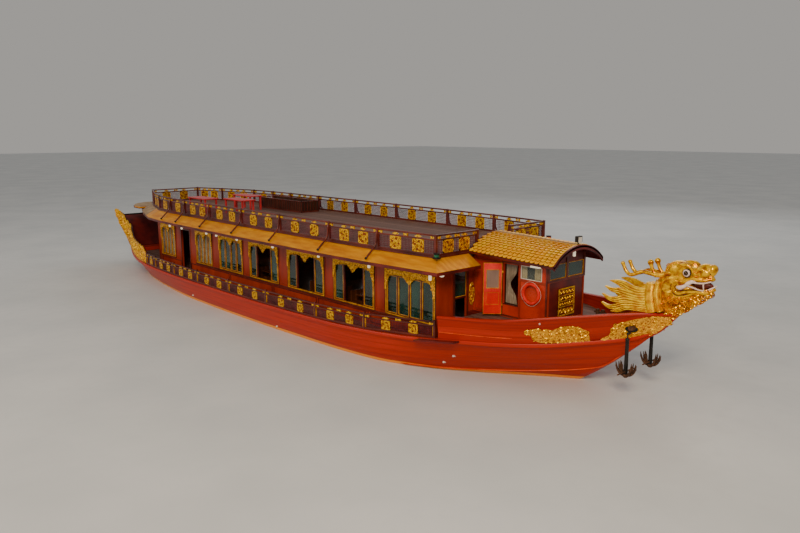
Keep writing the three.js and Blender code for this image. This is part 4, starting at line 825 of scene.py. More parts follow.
class Fencing:
    """One fence: rails and posts, and the places of its lattice bars, squares and blocks."""

    def __init__(self, name, form, replaces):
        self.name, self.form, self.replaces = name, form, replaces
        self.frame = Kit(name, replaces=replaces)
        self.bars, self.squares, self.clouds, self.ties = [], [], [], []

    def post(self, at):
        f, (x, y, z) = self.form, at
        half = f.post / 2
        wood = self.frame.of("rail")
        wood.box((x - half, y - half, z), (x + half, y + half, z + f.post_top - 0.035))
        cap = [(half + 0.006, f.post_top - 0.036), (half + 0.006, f.post_top - 0.018),
               (half * 0.4, f.post_top)]
        wood.loft([[(x + r * u, y + r * v, z + h) for u, v in CORNERS] for r, h in cap])

    def bay(self, a, b, strips=False, trim=(0.0, 0.0)):
        """Rails from post to post, with carved squares, blocks and lattice between them."""
        f = self.form
        matrix, length, yaw, pitch = bay_frame(a, b)

        def place(x, y, z, size, lean=-pitch):
            return Place(matrix @ Vector((x, y, z)), (0, lean, yaw), size)
        wood = self.frame.of("rail")
        start, end = trim[0], length - trim[1]
        for half, low, high in ((f.rail / 2, 0.0, f.foot_rail), (f.mid_rail / 2, f.panel_top, f.mid_top)):
            wood.box((start, -half, low), (end, half, high), matrix)
        half, low, high = f.top_width / 2, f.top_foot, f.top_foot + f.top_height
        edge = [(half - 0.012, low), (half, low + 0.015), (half, high - 0.018), (half - 0.02, high)]
        section = edge + [(-y, z) for y, z in reversed(edge)]
        wood.loft([[(x, y, z) for y, z in section] for x in (start, end)], matrix=matrix)
        height = f.panel_top - f.foot_rail
        width = height * SQUARE_ASPECT
        middle = (f.panel_top + f.foot_rail) / 2
        block_z, block_height = (f.mid_top + f.top_foot) / 2, f.top_foot - f.mid_top + 0.004
        centres = square_centres(length, f)
        for x in centres:
            self.squares.append(place(x, 0, middle, (width, CARVING_DEPTH, height)))
            self.frame.of("ground").box((x - width / 2, -0.004, f.foot_rail),
                                        (x + width / 2, 0.004, f.panel_top), matrix)
            self.clouds.append(place(x, 0, block_z, (CLOUD_WIDTH, BLOCK_DEPTH, block_height)))
        for x in ([length / 2] if len(centres) != 1 else []) + [0.10, length - 0.10]:
            self.ties.append(place(x, 0, block_z, (TIE_WIDTH, BLOCK_DEPTH, block_height)))
        edges = [0.04] + [e for x in centres for e in (x - width / 2, x + width / 2)] + [length - 0.04]
        for low, high in zip(edges[0::2], edges[1::2]):
            if high - low < LATTICE_PITCH:
                continue
            for x in spread(low, high, LATTICE_PITCH)[1:-1]:
                self.bars.append(place(x, -0.004, middle, (LATTICE_BAR, LATTICE_BAR / 2, height), lean=0))
            for z in spread(f.foot_rail, f.panel_top, LATTICE_PITCH)[1:-1]:
                size = (high - low, LATTICE_BAR / 2, LATTICE_BAR * 0.7)
                self.bars.append(place((low + high) / 2, 0.005, z, size))
        if strips:
            for x in (0.055, length - 0.055):
                self.frame.of("trim").box((x - 0.009, -0.030, f.foot_rail),
                                          (x + 0.009, 0.030, f.panel_top), matrix)

    def done(self):
        self.frame.done(bevel=0.004)
        for kind, pattern, places, finish in (
                ("lattice", unit_bar(), self.bars, "lattice"),
                ("squares", fret_square(), self.squares, "gilt"),
                ("clouds", cloud_block(), self.clouds, "gilt"), ("ties", bow_tie(), self.ties, "gilt")):
            set_out(f"{self.name}_{kind}", pattern, places, finish)


DECK_PLAN = ((9.90, 2.88), (7.30, 3.10), (4.70, 3.18), (-1.40, 3.18), (-6.70, 3.09), (-8.30, 3.04),
             (-9.95, 2.85), (-12.20, 2.11), (-13.90, 1.42))
UPPER_POSTS = (9.84, 7.30, 4.70, 1.50, -1.40, -4.25, -6.70, -8.30, -9.95)
AFT_CORNERS = ((-12.20, 2.05), (-13.84, 1.36))
WALK_POSTS = (10.15, 7.30, 4.70, 1.50, -1.40, -4.25, -6.70, -9.00, -10.30)
DECK_FOOT = UPPER_DECK + SOLID
FENCE_IN = 0.06
STAYED_POSTS = slice(1, 8)
FRONT_GAP = 0.86
STAY = ((-0.020, 4.42), (0.010, 4.26), (0.020, 4.10), (0.050, 3.95), (0.130, 3.83), (0.260, 3.71),
        (0.390, 3.595), (0.490, 3.50))


def deck_half(x):
    rows = DECK_PLAN
    for (xa, ya), (xb, yb) in zip(rows, rows[1:]):
        if xb <= x <= xa:
            return ya + (yb - ya) * (xa - x) / (xa - xb)
    return rows[0][1] if x > rows[0][0] else rows[-1][1]


for name, side in SIDES:
    fence = Fencing(f"upper_fence_{name}", UPPER, [f"upper_fence_{name}"])
    posts = [(x, side * (deck_half(x) - FENCE_IN), DECK_FOOT) for x in UPPER_POSTS]
    for a, b in zip(posts, posts[1:]):
        fence.bay(a, b)
    for at in posts:
        fence.post(at)
    for x, y, _ in posts[STAYED_POSTS]:
        path = [(x, side * (abs(y) + FENCE_IN + out), z) for out, z in STAY]
        fence.frame.of("rail").tube(path, 0.034, 8)
        shoe = [Vector(path[-1]) + Vector((0, 0, rise)) for rise in (0.045, 0.02, 0.0, -0.03)]
        fence.frame.of("dark").tube(shoe, [0.022, 0.046, 0.046, 0.028], 12)
    fence.done()
    front = Fencing(f"front_fence_{name}", UPPER, [f"front_fence_{name}"])
    a, b = posts[0], (posts[0][0], side * FRONT_GAP, DECK_FOOT)
    front.bay(a, b, trim=(0.0453, 0.0))
    front.post(b)
    front.done()
    walk = Fencing(f"walkway_fence_{name}", WALK, [f"walkway_fence_{name}"])
    posts = [(x, side * (HULL.at("sheer", x) - 0.062), HULL.at("sheer_z", x) - 0.004) for x in WALK_POSTS]
    for a, b in zip(posts, posts[1:]):
        walk.bay(a, b, strips=True)
    for at in posts:
        walk.post(at)
    walk.done()
aft = Fencing("upper_fence_aft", UPPER, ["upper_fence_aft"])
plan = ((UPPER_POSTS[-1], deck_half(UPPER_POSTS[-1]) - FENCE_IN),) + AFT_CORNERS
corners = [(x, y, DECK_FOOT) for x, y in mirrored(plan)]
for i, (a, b) in enumerate(zip(corners, corners[1:])):
    aft.bay(a, b, trim=((0.0753 if i == 0 else 0.0), (0.0753 if i == len(corners) - 2 else 0.0)))
for at in corners[1:-1]:
    aft.post(at)
aft.done()


# Eave: fascia board at the tip, boarded soffit and the strip along the deck edge

EAVE_TIP, EAVE_TIP_FOOT, EAVE_ROOT, EAVE_ROOT_FOOT, EAVE_OUT = 3.41, 3.34, 3.745, 3.66, 0.56
DECK_OUTLINE = mirrored(DECK_PLAN)


def offset(outline, distance):
    """An outline moved outward with mitred corners."""
    moved = []
    for i, (x, y) in enumerate(outline):
        before = (Vector((x, y)) - Vector(outline[i - 1])).normalized()
        after = (Vector(outline[(i + 1) % len(outline)]) - Vector((x, y))).normalized()
        out = Vector((-before.y - after.y, before.x + after.x)).normalized()
        moved.append(Vector((x, y)) + out * distance / out.dot(Vector((-before.y, before.x))))
    return moved


def edge_band(kit, finish, section):
    """A band round the deck: its section as distance out and height."""
    levels = [(offset(DECK_OUTLINE, out), z) for out, z in section]
    rings = [[(points[i].x, points[i].y, z) for points, z in levels] for i in range(len(DECK_OUTLINE))]
    kit.of(finish).loft(rings, looped=True)


def notched(obj, low, high):
    """Cuts a box out of a piece, where another roof passes through it."""
    cutter = Solids()
    cutter.box(low, high)
    tool = linked("notch", cutter.mesh("notch"))
    modifier = obj.modifiers.new("notch", "BOOLEAN")
    modifier.object = tool
    modifier.operation = "DIFFERENCE"
    bake(obj)
    bpy.data.objects.remove(tool)


eave = Kit("eave_trim")
edge_band(eave, "maroon", [(EAVE_OUT - 0.03, EAVE_TIP_FOOT - 0.035),
                           (EAVE_OUT + 0.004, EAVE_TIP_FOOT - 0.035),
                           (EAVE_OUT + 0.004, EAVE_TIP + 0.006), (EAVE_OUT - 0.03, EAVE_TIP_FOOT + 0.01)])
edge_band(eave, "panel", [(0.01, EAVE_ROOT_FOOT - 0.012), (0.01, EAVE_ROOT_FOOT - 0.002),
                          (EAVE_OUT - 0.032, EAVE_TIP_FOOT - 0.002),
                          (EAVE_OUT - 0.032, EAVE_TIP_FOOT - 0.014)])
edge_band(eave, "rail", [(0.001, EAVE_ROOT + 0.004), (0.032, EAVE_ROOT + 0.002),
                         (0.034, EAVE_ROOT + 0.05), (0.001, EAVE_ROOT + 0.058)])
for piece in eave.done():
    notched(piece, (9.80, -1.35, 3.2), (10.8, 1.35, 3.72))


# Saloon windows: ochre beads, varnished sashes, tinted or clear panes, and carved valances over them

Window = namedtuple("Window", "x width open")
WINDOWS = (Window(8.62, 2.38, False), Window(5.67, 2.30, True), Window(2.70, 2.40, True),
           Window(-0.30, 2.20, True), Window(-3.00, 2.00, False), Window(-5.45, 1.50, False),
           Window(-9.15, 1.50, False))
SIDE_DOOR = (-7.30, 0.86, 2.96)
CURTAINED_X = -4.0
FRAME = 0.038
SASH = 0.034
PANE_IN = 0.050


def side_box(solids, side, x0, x1, inner, outer, z0, z1):
    y0, y1 = sorted((side * inner, side * outer))
    solids.box((x0, y0, z0), (x1, y1, z1))


def side_frame(solids, side, x0, x1, z0, z1, bar, inner, outer):
    """Four bars round an opening in a side wall."""
    side_box(solids, side, x0, x0 + bar, inner, outer, z0, z1)
    side_box(solids, side, x1 - bar, x1, inner, outer, z0, z1)
    side_box(solids, side, x0 + bar, x1 - bar, inner, outer, z0, z0 + bar)
    side_box(solids, side, x0 + bar, x1 - bar, inner, outer, z1 - bar, z1)


def sash(kit, side, x0, x1, z0, z1, pane):
    wall = SALOON_HALF
    side_frame(kit.of("rail"), side, x0, x1, z0, z1, SASH, wall - 0.035, wall + 0.014)
    side_frame(kit.of("trim"), side, x0 + SASH, x1 - SASH, z0 + SASH, z1 - SASH, 0.020,
               wall - 0.028, wall + 0.018)
    side_box(kit.of(pane), side, x0 + PANE_IN, x1 - PANE_IN, wall - 0.018, wall - 0.010,
             z0 + PANE_IN, z1 - PANE_IN)


def window(kit, side, w):
    """Four sashes in a frame; an open window has its two middle ones slid away."""
    left, right = w.x - w.width / 2 + SOLID, w.x + w.width / 2 - SOLID
    low, high = SILL + SOLID, HEAD - SOLID
    pane = "clear" if w.x < CURTAINED_X else "glass"
    side_frame(kit.of("trim"), side, left, right, low, high, FRAME, SALOON_HALF - FRAME, SALOON_HALF + 0.028)
    pitch = (right - left - 2 * FRAME) / 4
    for i in ((0, 3) if w.open else range(4)):
        x0 = left + FRAME + i * pitch
        sash(kit, side, x0, x0 + pitch, low + FRAME, high - FRAME, pane)
    if w.open:
        for i in (1, 3):
            x = left + FRAME + i * pitch
            side_box(kit.of("rail"), side, x - 0.03, x + 0.03, SALOON_HALF - 0.05, SALOON_HALF + 0.01,
                     low, high)


def valance_drop(t):
    """Depth of the carved board below its top edge, across one window."""
    scallop = 0.022 * abs(math.sin(t * 11 * math.pi))
    legs = sum(0.50 * math.exp(-(d / 0.055) ** 2) + 0.10 * math.exp(-(d / 0.16) ** 2) for d in (t, 1 - t))
    return 0.17 + scallop + 0.24 * math.exp(-((t - 0.5) / 0.085) ** 2) + legs


VALANCE_TOP = 3.13
VALANCE_STEPS = 88
CARVING_PITCH = 0.085
SCROLL_SHARE = 0.62
ANY_TURN = (0, 6.28)
VALANCE_OUT = (SALOON_HALF + 0.034, SALOON_HALF + 0.048)


def valance(solids, side, w):
    x0, width = w.x - w.width / 2 - 0.02, w.width + 0.04
    rings = []
    for i in range(VALANCE_STEPS + 1):
        t = i / VALANCE_STEPS
        x, foot = x0 + t * width, VALANCE_TOP - valance_drop(t)
        y0, y1 = side * VALANCE_OUT[0], side * VALANCE_OUT[1]
        rings.append([(x, y0, foot), (x, y1, foot), (x, y1, VALANCE_TOP), (x, y0, VALANCE_TOP)])
    solids.loft(rings)


def curl():
    """A unit scroll of carving lying in x and z, one and a half turns, highest along its middle."""
    scroll = Solids()
    rings = []
    for i in range(13):
        t = i / 12
        angle = t * 3.3 * math.pi
        radius = 0.5 * (1 - 0.82 * t)
        centre = Vector((radius * math.cos(angle), 0, radius * math.sin(angle)))
        out = Vector((math.cos(angle), 0, math.sin(angle)))
        half = 0.10 * (1 - 0.55 * t) * (0.45 if i == 0 else 1.0)
        rings.append([centre - out * half, centre + Vector((0, -0.10, 0)), centre + out * half])
    scroll.loft(rings)
    return scroll


def leaf_stroke():
    """A unit leaf of carving along x, pointed at both ends and ridged along the middle."""
    leaf = Solids()
    rings = []
    for x, half, rise in ((-0.5, 0.01, 0.01), (-0.25, 0.13, 0.07), (0.05, 0.16, 0.10), (0.32, 0.09, 0.07),
                          (0.5, 0.01, 0.01)):
        bend = 0.16 * math.cos(x * math.pi)
        rings.append([Vector((x, 0, bend - half)), Vector((x, -rise, bend)), Vector((x, 0, bend + half))])
    leaf.loft(rings)
    return leaf


def scatter_on(side, spots, out):
    """Places of scrolls on a side face: each spot is x, z, size and turn; they face outboard."""
    facing = 0.0 if side < 0 else math.pi
    return [Place((x, side * out, z), (0.0, turn, facing), (size, size, size)) for x, z, size, turn in spots]


def valance_carving(w, spots, strokes):
    """Scrolls and leaves in columns over the carved board of a window."""
    columns = int(w.width / CARVING_PITCH)
    for i in range(columns):
        t = (i + 0.5) / columns
        depth = valance_drop(t)
        rows = max(2, int(depth / CARVING_PITCH))
        for k in range(rows):
            x = w.x - w.width / 2 + t * w.width
            z = VALANCE_TOP - 0.045 - (depth - 0.07) * k / max(rows - 1, 1)
            if rng.random() < SCROLL_SHARE:
                x += rng.uniform(-0.012, 0.012)
                spots.append((x, z, rng.uniform(0.075, 0.105), rng.uniform(*ANY_TURN)))
            else:
                strokes.append((x, z, rng.uniform(0.10, 0.14), rng.uniform(*ANY_TURN)))


rng = random.Random(7)
DOOR_X, DOOR_WIDTH, DOOR_TOP = SIDE_DOOR
WALL_TOP = 3.60
for name, side in SIDES:
    sashes = Kit(f"windows_{name}", replaces=[f"windows_{name}", f"aft_window_{name}"])
    carving = Solids()
    spots, strokes = [], []
    for w in WINDOWS:
        window(sashes, side, w)
        if w.x > -6 or w.x < -8:
            valance(carving, side, w)
            valance_carving(w, spots, strokes)
    for x0, x1 in ((-6.26, 9.85), (-9.94, -8.36)):
        side_box(sashes.of("rail"), side, x0, x1, SALOON_HALF + SOLID, SALOON_HALF + 0.055,
                 SILL - 0.06, SILL - 0.01)
    sashes.done(bevel=0.003)
    as_piece(f"valance_{name}", carving, "fine_gilt", crease=50)
    out = VALANCE_OUT[1]
    set_out(f"valance_scrolls_{name}", curl(), scatter_on(side, spots, out), "gilt", crease=60)
    set_out(f"valance_leaves_{name}", leaf_stroke(), scatter_on(side, strokes, out), "gilt", crease=60)
    lamps = Kit(f"eave_lamps_{name}")
    for x in [w.x + w.width / 2 + 0.03 for w in WINDOWS] + [DOOR_X + 0.2, WINDOWS[4].x - 0.75]:
        y = side * (SALOON_HALF + 0.27)
        lamps.of("lamp").tube([(x, y, z) for z in (3.045, 3.055, 3.075, 3.215, 3.235, 3.245)],
                              [0.02, 0.042, 0.05, 0.05, 0.042, 0.02], 16)
        lamps.of("dark").tube([(x, y, z) for z in (3.24, 3.30, 3.52)], 0.012, 8)
    lamps.done(crease=50)
    wall = Kit(f"wall_mouldings_{name}")
    edges = sorted([e for w in WINDOWS for e in (w.x - w.width / 2, w.x + w.width / 2)]
                   + [DOOR_X - DOOR_WIDTH / 2, DOOR_X + DOOR_WIDTH / 2])
    for i, x in enumerate(edges):
        x += 0.015 if i % 2 else -0.045
        side_box(wall.of("rail"), side, x, x + 0.030, SALOON_HALF, SALOON_HALF + 0.022, SILL, WALL_TOP)
    for low, high in zip(edges[1::2], edges[2::2] + [9.83]):
        if high - low < 0.3:
            continue
        side_frame(wall.of("panel"), side, low + 0.07, high - 0.07, SILL + 0.08, 3.30, 0.035,
                   SALOON_HALF, SALOON_HALF + 0.016)
    for x0, x1 in ((-9.90, -7.80), (-6.80, -3.2), (-3.1, 0.3), (0.4, 3.4), (3.5, 6.5), (6.6, 9.80)):
        side_frame(wall.of("maroon"), side, x0, x1, 1.02, 1.40, 0.04, SALOON_HALF, SALOON_HALF + 0.016)
    side_frame(wall.of("rail"), side, DOOR_X - 0.49, DOOR_X + 0.49, 0.98, DOOR_TOP + 0.06, 0.06,
               SALOON_HALF, SALOON_HALF + 0.024)
    wall.done(bevel=0.003)


# Front wall of the saloon: corner posts, door frames and an oval of carving beside each doorway

def front_frame(solids, y0, y1, z0, z1, bar, x0, x1):
    low, high = min(y0, y1), max(y0, y1)
    solids.box((x0, low, z0), (x1, low + bar, z1))
    solids.box((x0, high - bar, z0), (x1, high, z1))
    solids.box((x0, low + bar, z0), (x1, high - bar, z0 + bar))
    solids.box((x0, low + bar, z1 - bar), (x1, high - bar, z1))


SALOON_FORE = 9.85
OVAL_Y, OVAL_Z = 1.11, 2.34
OVAL_BREADTH, OVAL_HEIGHT = 0.120, 0.36
for name, side in SIDES:
    front = Kit(f"front_wall_{name}")
    fore = SALOON_FORE
    for finish, y0, y1, *sizes in (("rail", 1.28, 2.00, 1.0, 3.31, 0.06, fore, fore + 0.03),
                                   ("panel", 2.02, 2.79, 1.0, 3.55, 0.10, fore, fore + 0.025),
                                   ("trim", 1.345, 1.935, 2.30, 3.245, 0.022, fore - 0.06, fore - 0.03)):
        front_frame(front.of(finish), side * y0, side * y1, *sizes)
    side_box(front.of("glass"), side, fore - 0.05, fore - 0.042, 1.36, 1.92, 2.32, 3.22)
    side_box(front.of("rail"), side, fore - 0.06, fore - 0.03, 1.345, 1.935, 2.24, 2.30)
    front.of("trim").tube([(fore + 0.012, side * 1.33, z) for z in (1.76, 2.0, 2.5, 3.2)], 0.011, 8)
    front.done(bevel=0.003)
    oval = Solids()
    rings = []
    for i in range(36):
        a = 2 * math.pi * i / 36
        ring = []
        for k in range(6):
            b = 2 * math.pi * k / 6
            r = 1 + 0.10 * math.cos(b)
            ring.append((fore + 0.02 + 0.015 * math.sin(b), side * OVAL_Y + OVAL_BREADTH * r * math.cos(a),
                         OVAL_Z + OVAL_HEIGHT * r * math.sin(a)))
        rings.append(ring)
    oval.loft(rings, looped=True)
    as_piece(f"front_oval_{name}", oval, "gilt", crease=50)
    places = [Place((fore + 0.008, side * OVAL_Y + (j - 0.5) * 0.10, 2.06 + 0.095 * k),
                    (0.0, 1.3 * k + 2.5 * j, math.pi / 2), (0.09, 0.13, 0.09))
              for k in range(7) for j in range(2)]
    set_out(f"front_oval_scrolls_{name}", curl(), places, "gilt", crease=60)


# Wheelhouse

ROOF_FORE, ROOF_AFT, ROOF_HALF = 13.32, 9.915, 1.31
ROOF_RIDGE, ROOF_DROP, ROOF_SAG = 4.24, 0.11, 0.52
ROOF_RADIUS = (ROOF_HALF ** 2 + ROOF_SAG ** 2) / (2 * ROOF_SAG)


def ridge_z(x):
    return ROOF_RIDGE + ROOF_DROP * (ROOF_FORE - x) / (ROOF_FORE - ROOF_AFT)


def roof_z(x, y):
    return ridge_z(x) + math.sqrt(ROOF_RADIUS ** 2 - y * y) - ROOF_RADIUS


TILE_PITCH, TILE_ROW, TILE_LENGTH, TILE_THICK = 0.180, 0.124, 0.200, 0.013


def roof_tile(half, reach, drop):
    """A glazed scale tile: y runs up the slope, the foot is round, dished and tipped up."""
    foot = [(half * math.cos(math.radians(a)), -reach + half * (1 - math.sin(math.radians(a))))
            for a in range(0, 181, 30)]
    outline = [(-half, 0.0), (half, 0.0)] + foot

    def skin(rise):
        return [(x, y, 0.022 * (-y / TILE_LENGTH) - 0.010 * (x / half) ** 2 + 0.012 - drop + rise)
                for x, y in outline]
    tile = Solids()
    tile.loft([skin(0.0), skin(TILE_THICK)])
    return tile


tiles = []
arc_half = ROOF_RADIUS * math.asin(ROOF_HALF / ROOF_RADIUS)
rows = round(arc_half / TILE_ROW)
for _, side in SIDES:
    for r in range(rows):
        arc = arc_half + 0.05 - TILE_LENGTH - r * TILE_ROW
        if arc < -0.01:
            continue
        phi = arc / ROOF_RADIUS
        y = side * ROOF_RADIUS * math.sin(phi)
        shift = TILE_PITCH / 2 if r % 2 else 0.0
        for x in spread(ROOF_AFT + 0.08 + shift, ROOF_FORE - 0.14, TILE_PITCH):
            turn = (phi, 0.0, 0.0 if side < 0 else math.pi)
            tiles.append(Place((x, y, roof_z(x, y) - 0.004), turn, (1, 1, 1)))
set_out("roof_tiles", roof_tile(TILE_PITCH * 0.44, TILE_LENGTH - 0.012, 0.0), tiles, "tile", crease=30)
# Under each tile a brown copy, a little larger and lower: painted shade round the tile's edge
set_out("roof_tile_bed", roof_tile(TILE_PITCH * 0.5, TILE_LENGTH, 0.010), tiles, "tile_edge_shade", crease=30)

BARGE = ((-0.02, -0.085), (0.02, -0.085), (0.02, -0.01), (-0.02, -0.01))
roof = Kit("roof_trim")
ys = [ROOF_HALF * (i / 14 - 1) for i in range(29)]
for x0, x1, up, down, finish in ((ROOF_FORE - 0.055, ROOF_FORE, 0.030, 0.125, "maroon"),
                                 (ROOF_FORE - 0.12, ROOF_FORE - 0.056, 0.036, -0.012, "tile"),
                                 (ROOF_AFT, ROOF_AFT + 0.04, 0.028, 0.09, "maroon")):
    roof.of(finish).loft([[(x0, y, roof_z(x0, y) - down), (x1, y, roof_z(x1, y) - down),
                           (x1, y, roof_z(x1, y) + up), (x0, y, roof_z(x0, y) + up)] for y in ys])
for _, side in SIDES:
    y = side * (ROOF_HALF - 0.01)
    roof.of("maroon").loft([[(x, y + out, roof_z(x, ROOF_HALF) + rise) for out, rise in BARGE]
                            for x in (ROOF_AFT, ROOF_FORE - 0.056)])
ridge = [(x, 0.0, ridge_z(x) + 0.022) for x in spread(ROOF_AFT, ROOF_FORE - 0.06, 0.4)]
roof.of("pale").tube(ridge, 0.028, 8)
roof.done(bevel=0.003)

house = Kit("wheelhouse_mouldings")
wall, top = WHEELHOUSE_HALF, 3.60
for _, side in SIDES:
    for draw, finish, *sizes in (
            (side_frame, "panel", 11.76, 12.84, 1.80, top, 0.05, wall, wall + 0.020),
            (side_box, "panel", 11.79, 12.79, wall, wall + 0.024, 3.04, 3.12),
            (side_box, "rail", 12.79, 12.85, wall, wall + 0.030, 1.76, 3.66),
            (side_frame, "white", 11.82, 12.63, 3.12, 3.555, 0.022, wall - 0.01, wall + 0.020),
            (side_box, "clear", 11.84, 12.61, wall - 0.004, wall + 0.004, 3.14, 3.53),
            # a dark sheet behind the side window's glass: painted shade for the unlit room inside
            (side_box, "dark", 11.84, 12.61, wall - 0.0255, wall - 0.0235, 3.14, 3.53),
            (side_frame, "rail", 11.045, 11.80, 1.785, top, 0.05, wall, wall + 0.010),
            (side_box, "red", 11.13, 11.72, wall - 0.055, wall + 0.008, 1.85, 2.18),
            (side_box, "rail", 11.11, 11.74, wall - 0.055, wall + 0.009, 2.17, 2.20),
            (side_frame, "panel", 9.90, 11.05, 1.80, 3.55, 0.06, wall, wall + 0.018)):
        draw(house.of(finish), side, *sizes)
fore = WHEELHOUSE_FORE
front_frame(house.of("panel"), -0.97, 0.97, 1.78, 3.16, 0.06, fore, fore + 0.022)
house.of("rail").box((fore, -0.985, 3.12), (fore + 0.035, 0.985, 3.19))
for y in (-0.95, 0.0, 0.95):
    head = roof_z(fore, abs(y)) - 0.075
    house.of("rail").box((fore - 0.01, y - 0.045, 3.19), (fore + 0.030, y + 0.045, head))
for low, high in ((-0.90, -0.05), (0.05, 0.90)):
    front_frame(house.of("trim"), low, high, 3.19, 3.66, 0.022, fore - 0.005, fore + 0.014)
    house.of("glass").box((fore - 0.008, low + 0.02, 3.20), (fore, high - 0.02, 3.65))
house.done(bevel=0.003)

sign = Kit("front_carving")
front_frame(sign.of("gilt"), -0.43, 0.43, 1.96, 2.86, 0.045, fore + 0.022, fore + 0.045)
sign.of("maroon").box((fore + 0.020, -0.40, 1.99), (fore + 0.028, 0.40, 2.83))
for z in (2.26, 2.44, 2.62):
    sign.of("gilt").box((fore + 0.026, -0.39, z - 0.012), (fore + 0.042, 0.39, z + 0.012))
sign.done(bevel=0.003)
places = [Place((fore + 0.030, -0.33 + 0.66 * i / (count - 1), z), (0.0, 1.9 * i + 4 * z, math.pi / 2),
                (size, 0.16, size))
          for z, count, size in ((2.73, 5, 0.13), (2.53, 6, 0.11), (2.35, 6, 0.11)) for i in range(count)]
places += [Place((fore + 0.030, -0.27 + 0.18 * i, 2.12), (0.0, 1.2 * i, math.pi / 2), (0.19, 0.2, 0.19))
           for i in range(4)]
set_out("front_carving_scrolls", curl(), places, "gilt", crease=60)

lamp = Kit("wheelhouse_lamps")
x, z = ROOF_FORE - 0.22, roof_z(ROOF_FORE, 0) - 0.16
lamp.of("lamp").tube([(x, 0.0, z - drop) for drop in (0.20, 0.19, 0.02, 0.0)], [0.03, 0.045, 0.045, 0.03], 14)
lamp.of("dark").tube([(x, 0.0, z + rise) for rise in (-0.005, 0.05, 0.12)], 0.015, 8)
lamp.of("lamp").box((12.25, -1.10, 3.555), (12.60, -1.03, 3.605))
lamp.of("lamp").box((9.95, -2.75, 3.42), (10.25, -2.68, 3.47))
lamp.done()


# Door leaves stand open; they are drawn closed and turned about their hinges

LEAF_X, LEAF_WIDTH, LEAF_LOW, LEAF_HIGH, LEAF_THICK = 11.11, 0.63, 1.84, 3.54, 0.038
LEAF_OPEN = math.radians(133)
HINGE_Y = WHEELHOUSE_HALF + 0.012 + LEAF_THICK / 2
for name, side in SIDES:
    hinge = Matrix.Translation((LEAF_X, side * HINGE_Y, 0))
    swing = hinge @ Matrix.Rotation(side * LEAF_OPEN, 4, "Z") @ hinge.inverted()
    leaf = Kit(f"door_leaf_{name}", f"wheelhouse_door_{name}", [f"wheelhouse_door_{name}"])
    x0, x1 = LEAF_X + 0.026, LEAF_X + LEAF_WIDTH
    a, b = x0 + 0.088, x1 - 0.088
    c, d = x0 + 0.09, x1 - 0.09
    inner, outer = HINGE_Y - LEAF_THICK / 2, HINGE_Y + LEAF_THICK / 2
    for draw, finish, *sizes in (
            (side_frame, "leaf", x0 + 0.016, x1 - 0.016, LEAF_LOW + 0.014, LEAF_HIGH - 0.014, 0.075,
             inner, outer),
            (side_box, "leaf", c, d, inner, outer, 2.10, 2.16),
            (side_box, "leaf", c, d, inner, outer, 2.56, 2.70),
            (side_box, "leaf", c, d, inner, outer, 3.32, 3.46),
            (side_box, "leaf", c, d, inner + 0.010, outer - 0.010, LEAF_LOW + 0.08, 2.58),
            (side_frame, "trim", x0, x1, LEAF_LOW, LEAF_HIGH, 0.016, inner + 0.002, outer - 0.002),
            (side_frame, "trim", a, b, 2.70, 3.32, 0.020, inner - 0.004, outer + 0.004),
            (side_frame, "trim", a, b, 2.16, 2.56, 0.012, inner + 0.006, outer - 0.006),
            (side_box, "frosted", x0 + 0.10, x1 - 0.10, HINGE_Y - 0.003, HINGE_Y + 0.003, 2.71, 3.31)):
        draw(leaf.of(finish), side, *sizes)
    for z in (2.15, 3.25):
        leaf.of("trim").tube([(LEAF_X, side * HINGE_Y, z + rise) for rise in (-0.03, 0.0, 0.03)], 0.015, 12)
        side_box(leaf.of("trim"), side, LEAF_X, LEAF_X + 0.04, HINGE_Y - 0.005, HINGE_Y + 0.005,
                 z - 0.03, z + 0.03)
    for solids in leaf.parts.values():
        solids.points = [swing @ p for p in solids.points]
    leaf.done(bevel=0.003)


# Lifebuoy: canvas ring, four pairs of whippings and the grab line round it

BUOY_X, BUOY_Z, BUOY_RADIUS, BUOY_TUBE = 12.27, 2.70, 0.305, 0.055
buoy = Kit("lifebuoy_ring", replaces=["lifebuoy"])
centre = (BUOY_X, -WHEELHOUSE_HALF - BUOY_TUBE - SOLID, BUOY_Z)
ring = ring_of(centre, BUOY_RADIUS, BUOY_TUBE, turns=48, sides=14)
buoy.of("buoy").add(ring.points, ring.faces)
for k in range(4):
    a = math.radians(45 + 90 * k)
    middle = Vector(centre) + Vector((math.cos(a), 0, math.sin(a))) * BUOY_RADIUS
    tangent = Vector((-math.sin(a), 0, math.cos(a)))
    for d in (-0.028, 0.022):
        band = [middle + tangent * (d + e) for e in (0.0, 0.001, 0.005, 0.006)]
        buoy.of("buoy").tube(band, [BUOY_TUBE + out for out in (0.001, 0.003, 0.003, 0.001)], 16)
line = Solids()
path = []
for i in range(96):
    a = 2 * math.pi * i / 96
    sag = abs(math.sin(2 * (a - math.pi / 4)))
    r = BUOY_RADIUS + BUOY_TUBE + 0.004 + 0.022 * sag
    path.append(Vector(centre) + Vector((math.cos(a) * r, -0.012, math.sin(a) * r)))
line.tube(path + [path[0]], 0.005, 6)
buoy.of("bone").add(line.points, line.faces)
buoy.done(crease=50)


# Carving laid on faces

def facing(out, turn=0.0):
    """Turn of a pattern that shows its face along a direction."""
    out = Vector(out).normalized()
    along = Vector((0, 0, 1)).cross(out).normalized()
    basis = Matrix((along, -out, along.cross(-out))).transposed()
    return tuple((basis @ Matrix.Rotation(turn, 3, "Y")).to_euler())


def laid_on(face, side, u, v, size, turn=0.0, lift=0.0):
    """Place on a face, which gives the point at u and v and a distance outboard."""
    at = face(u, v, lift)
    out = (face(u + 0.02, v, lift) - at).cross(face(u, v + 0.02, lift) - at) * -side
    return Place(at, facing(out, turn), (size, size, size))


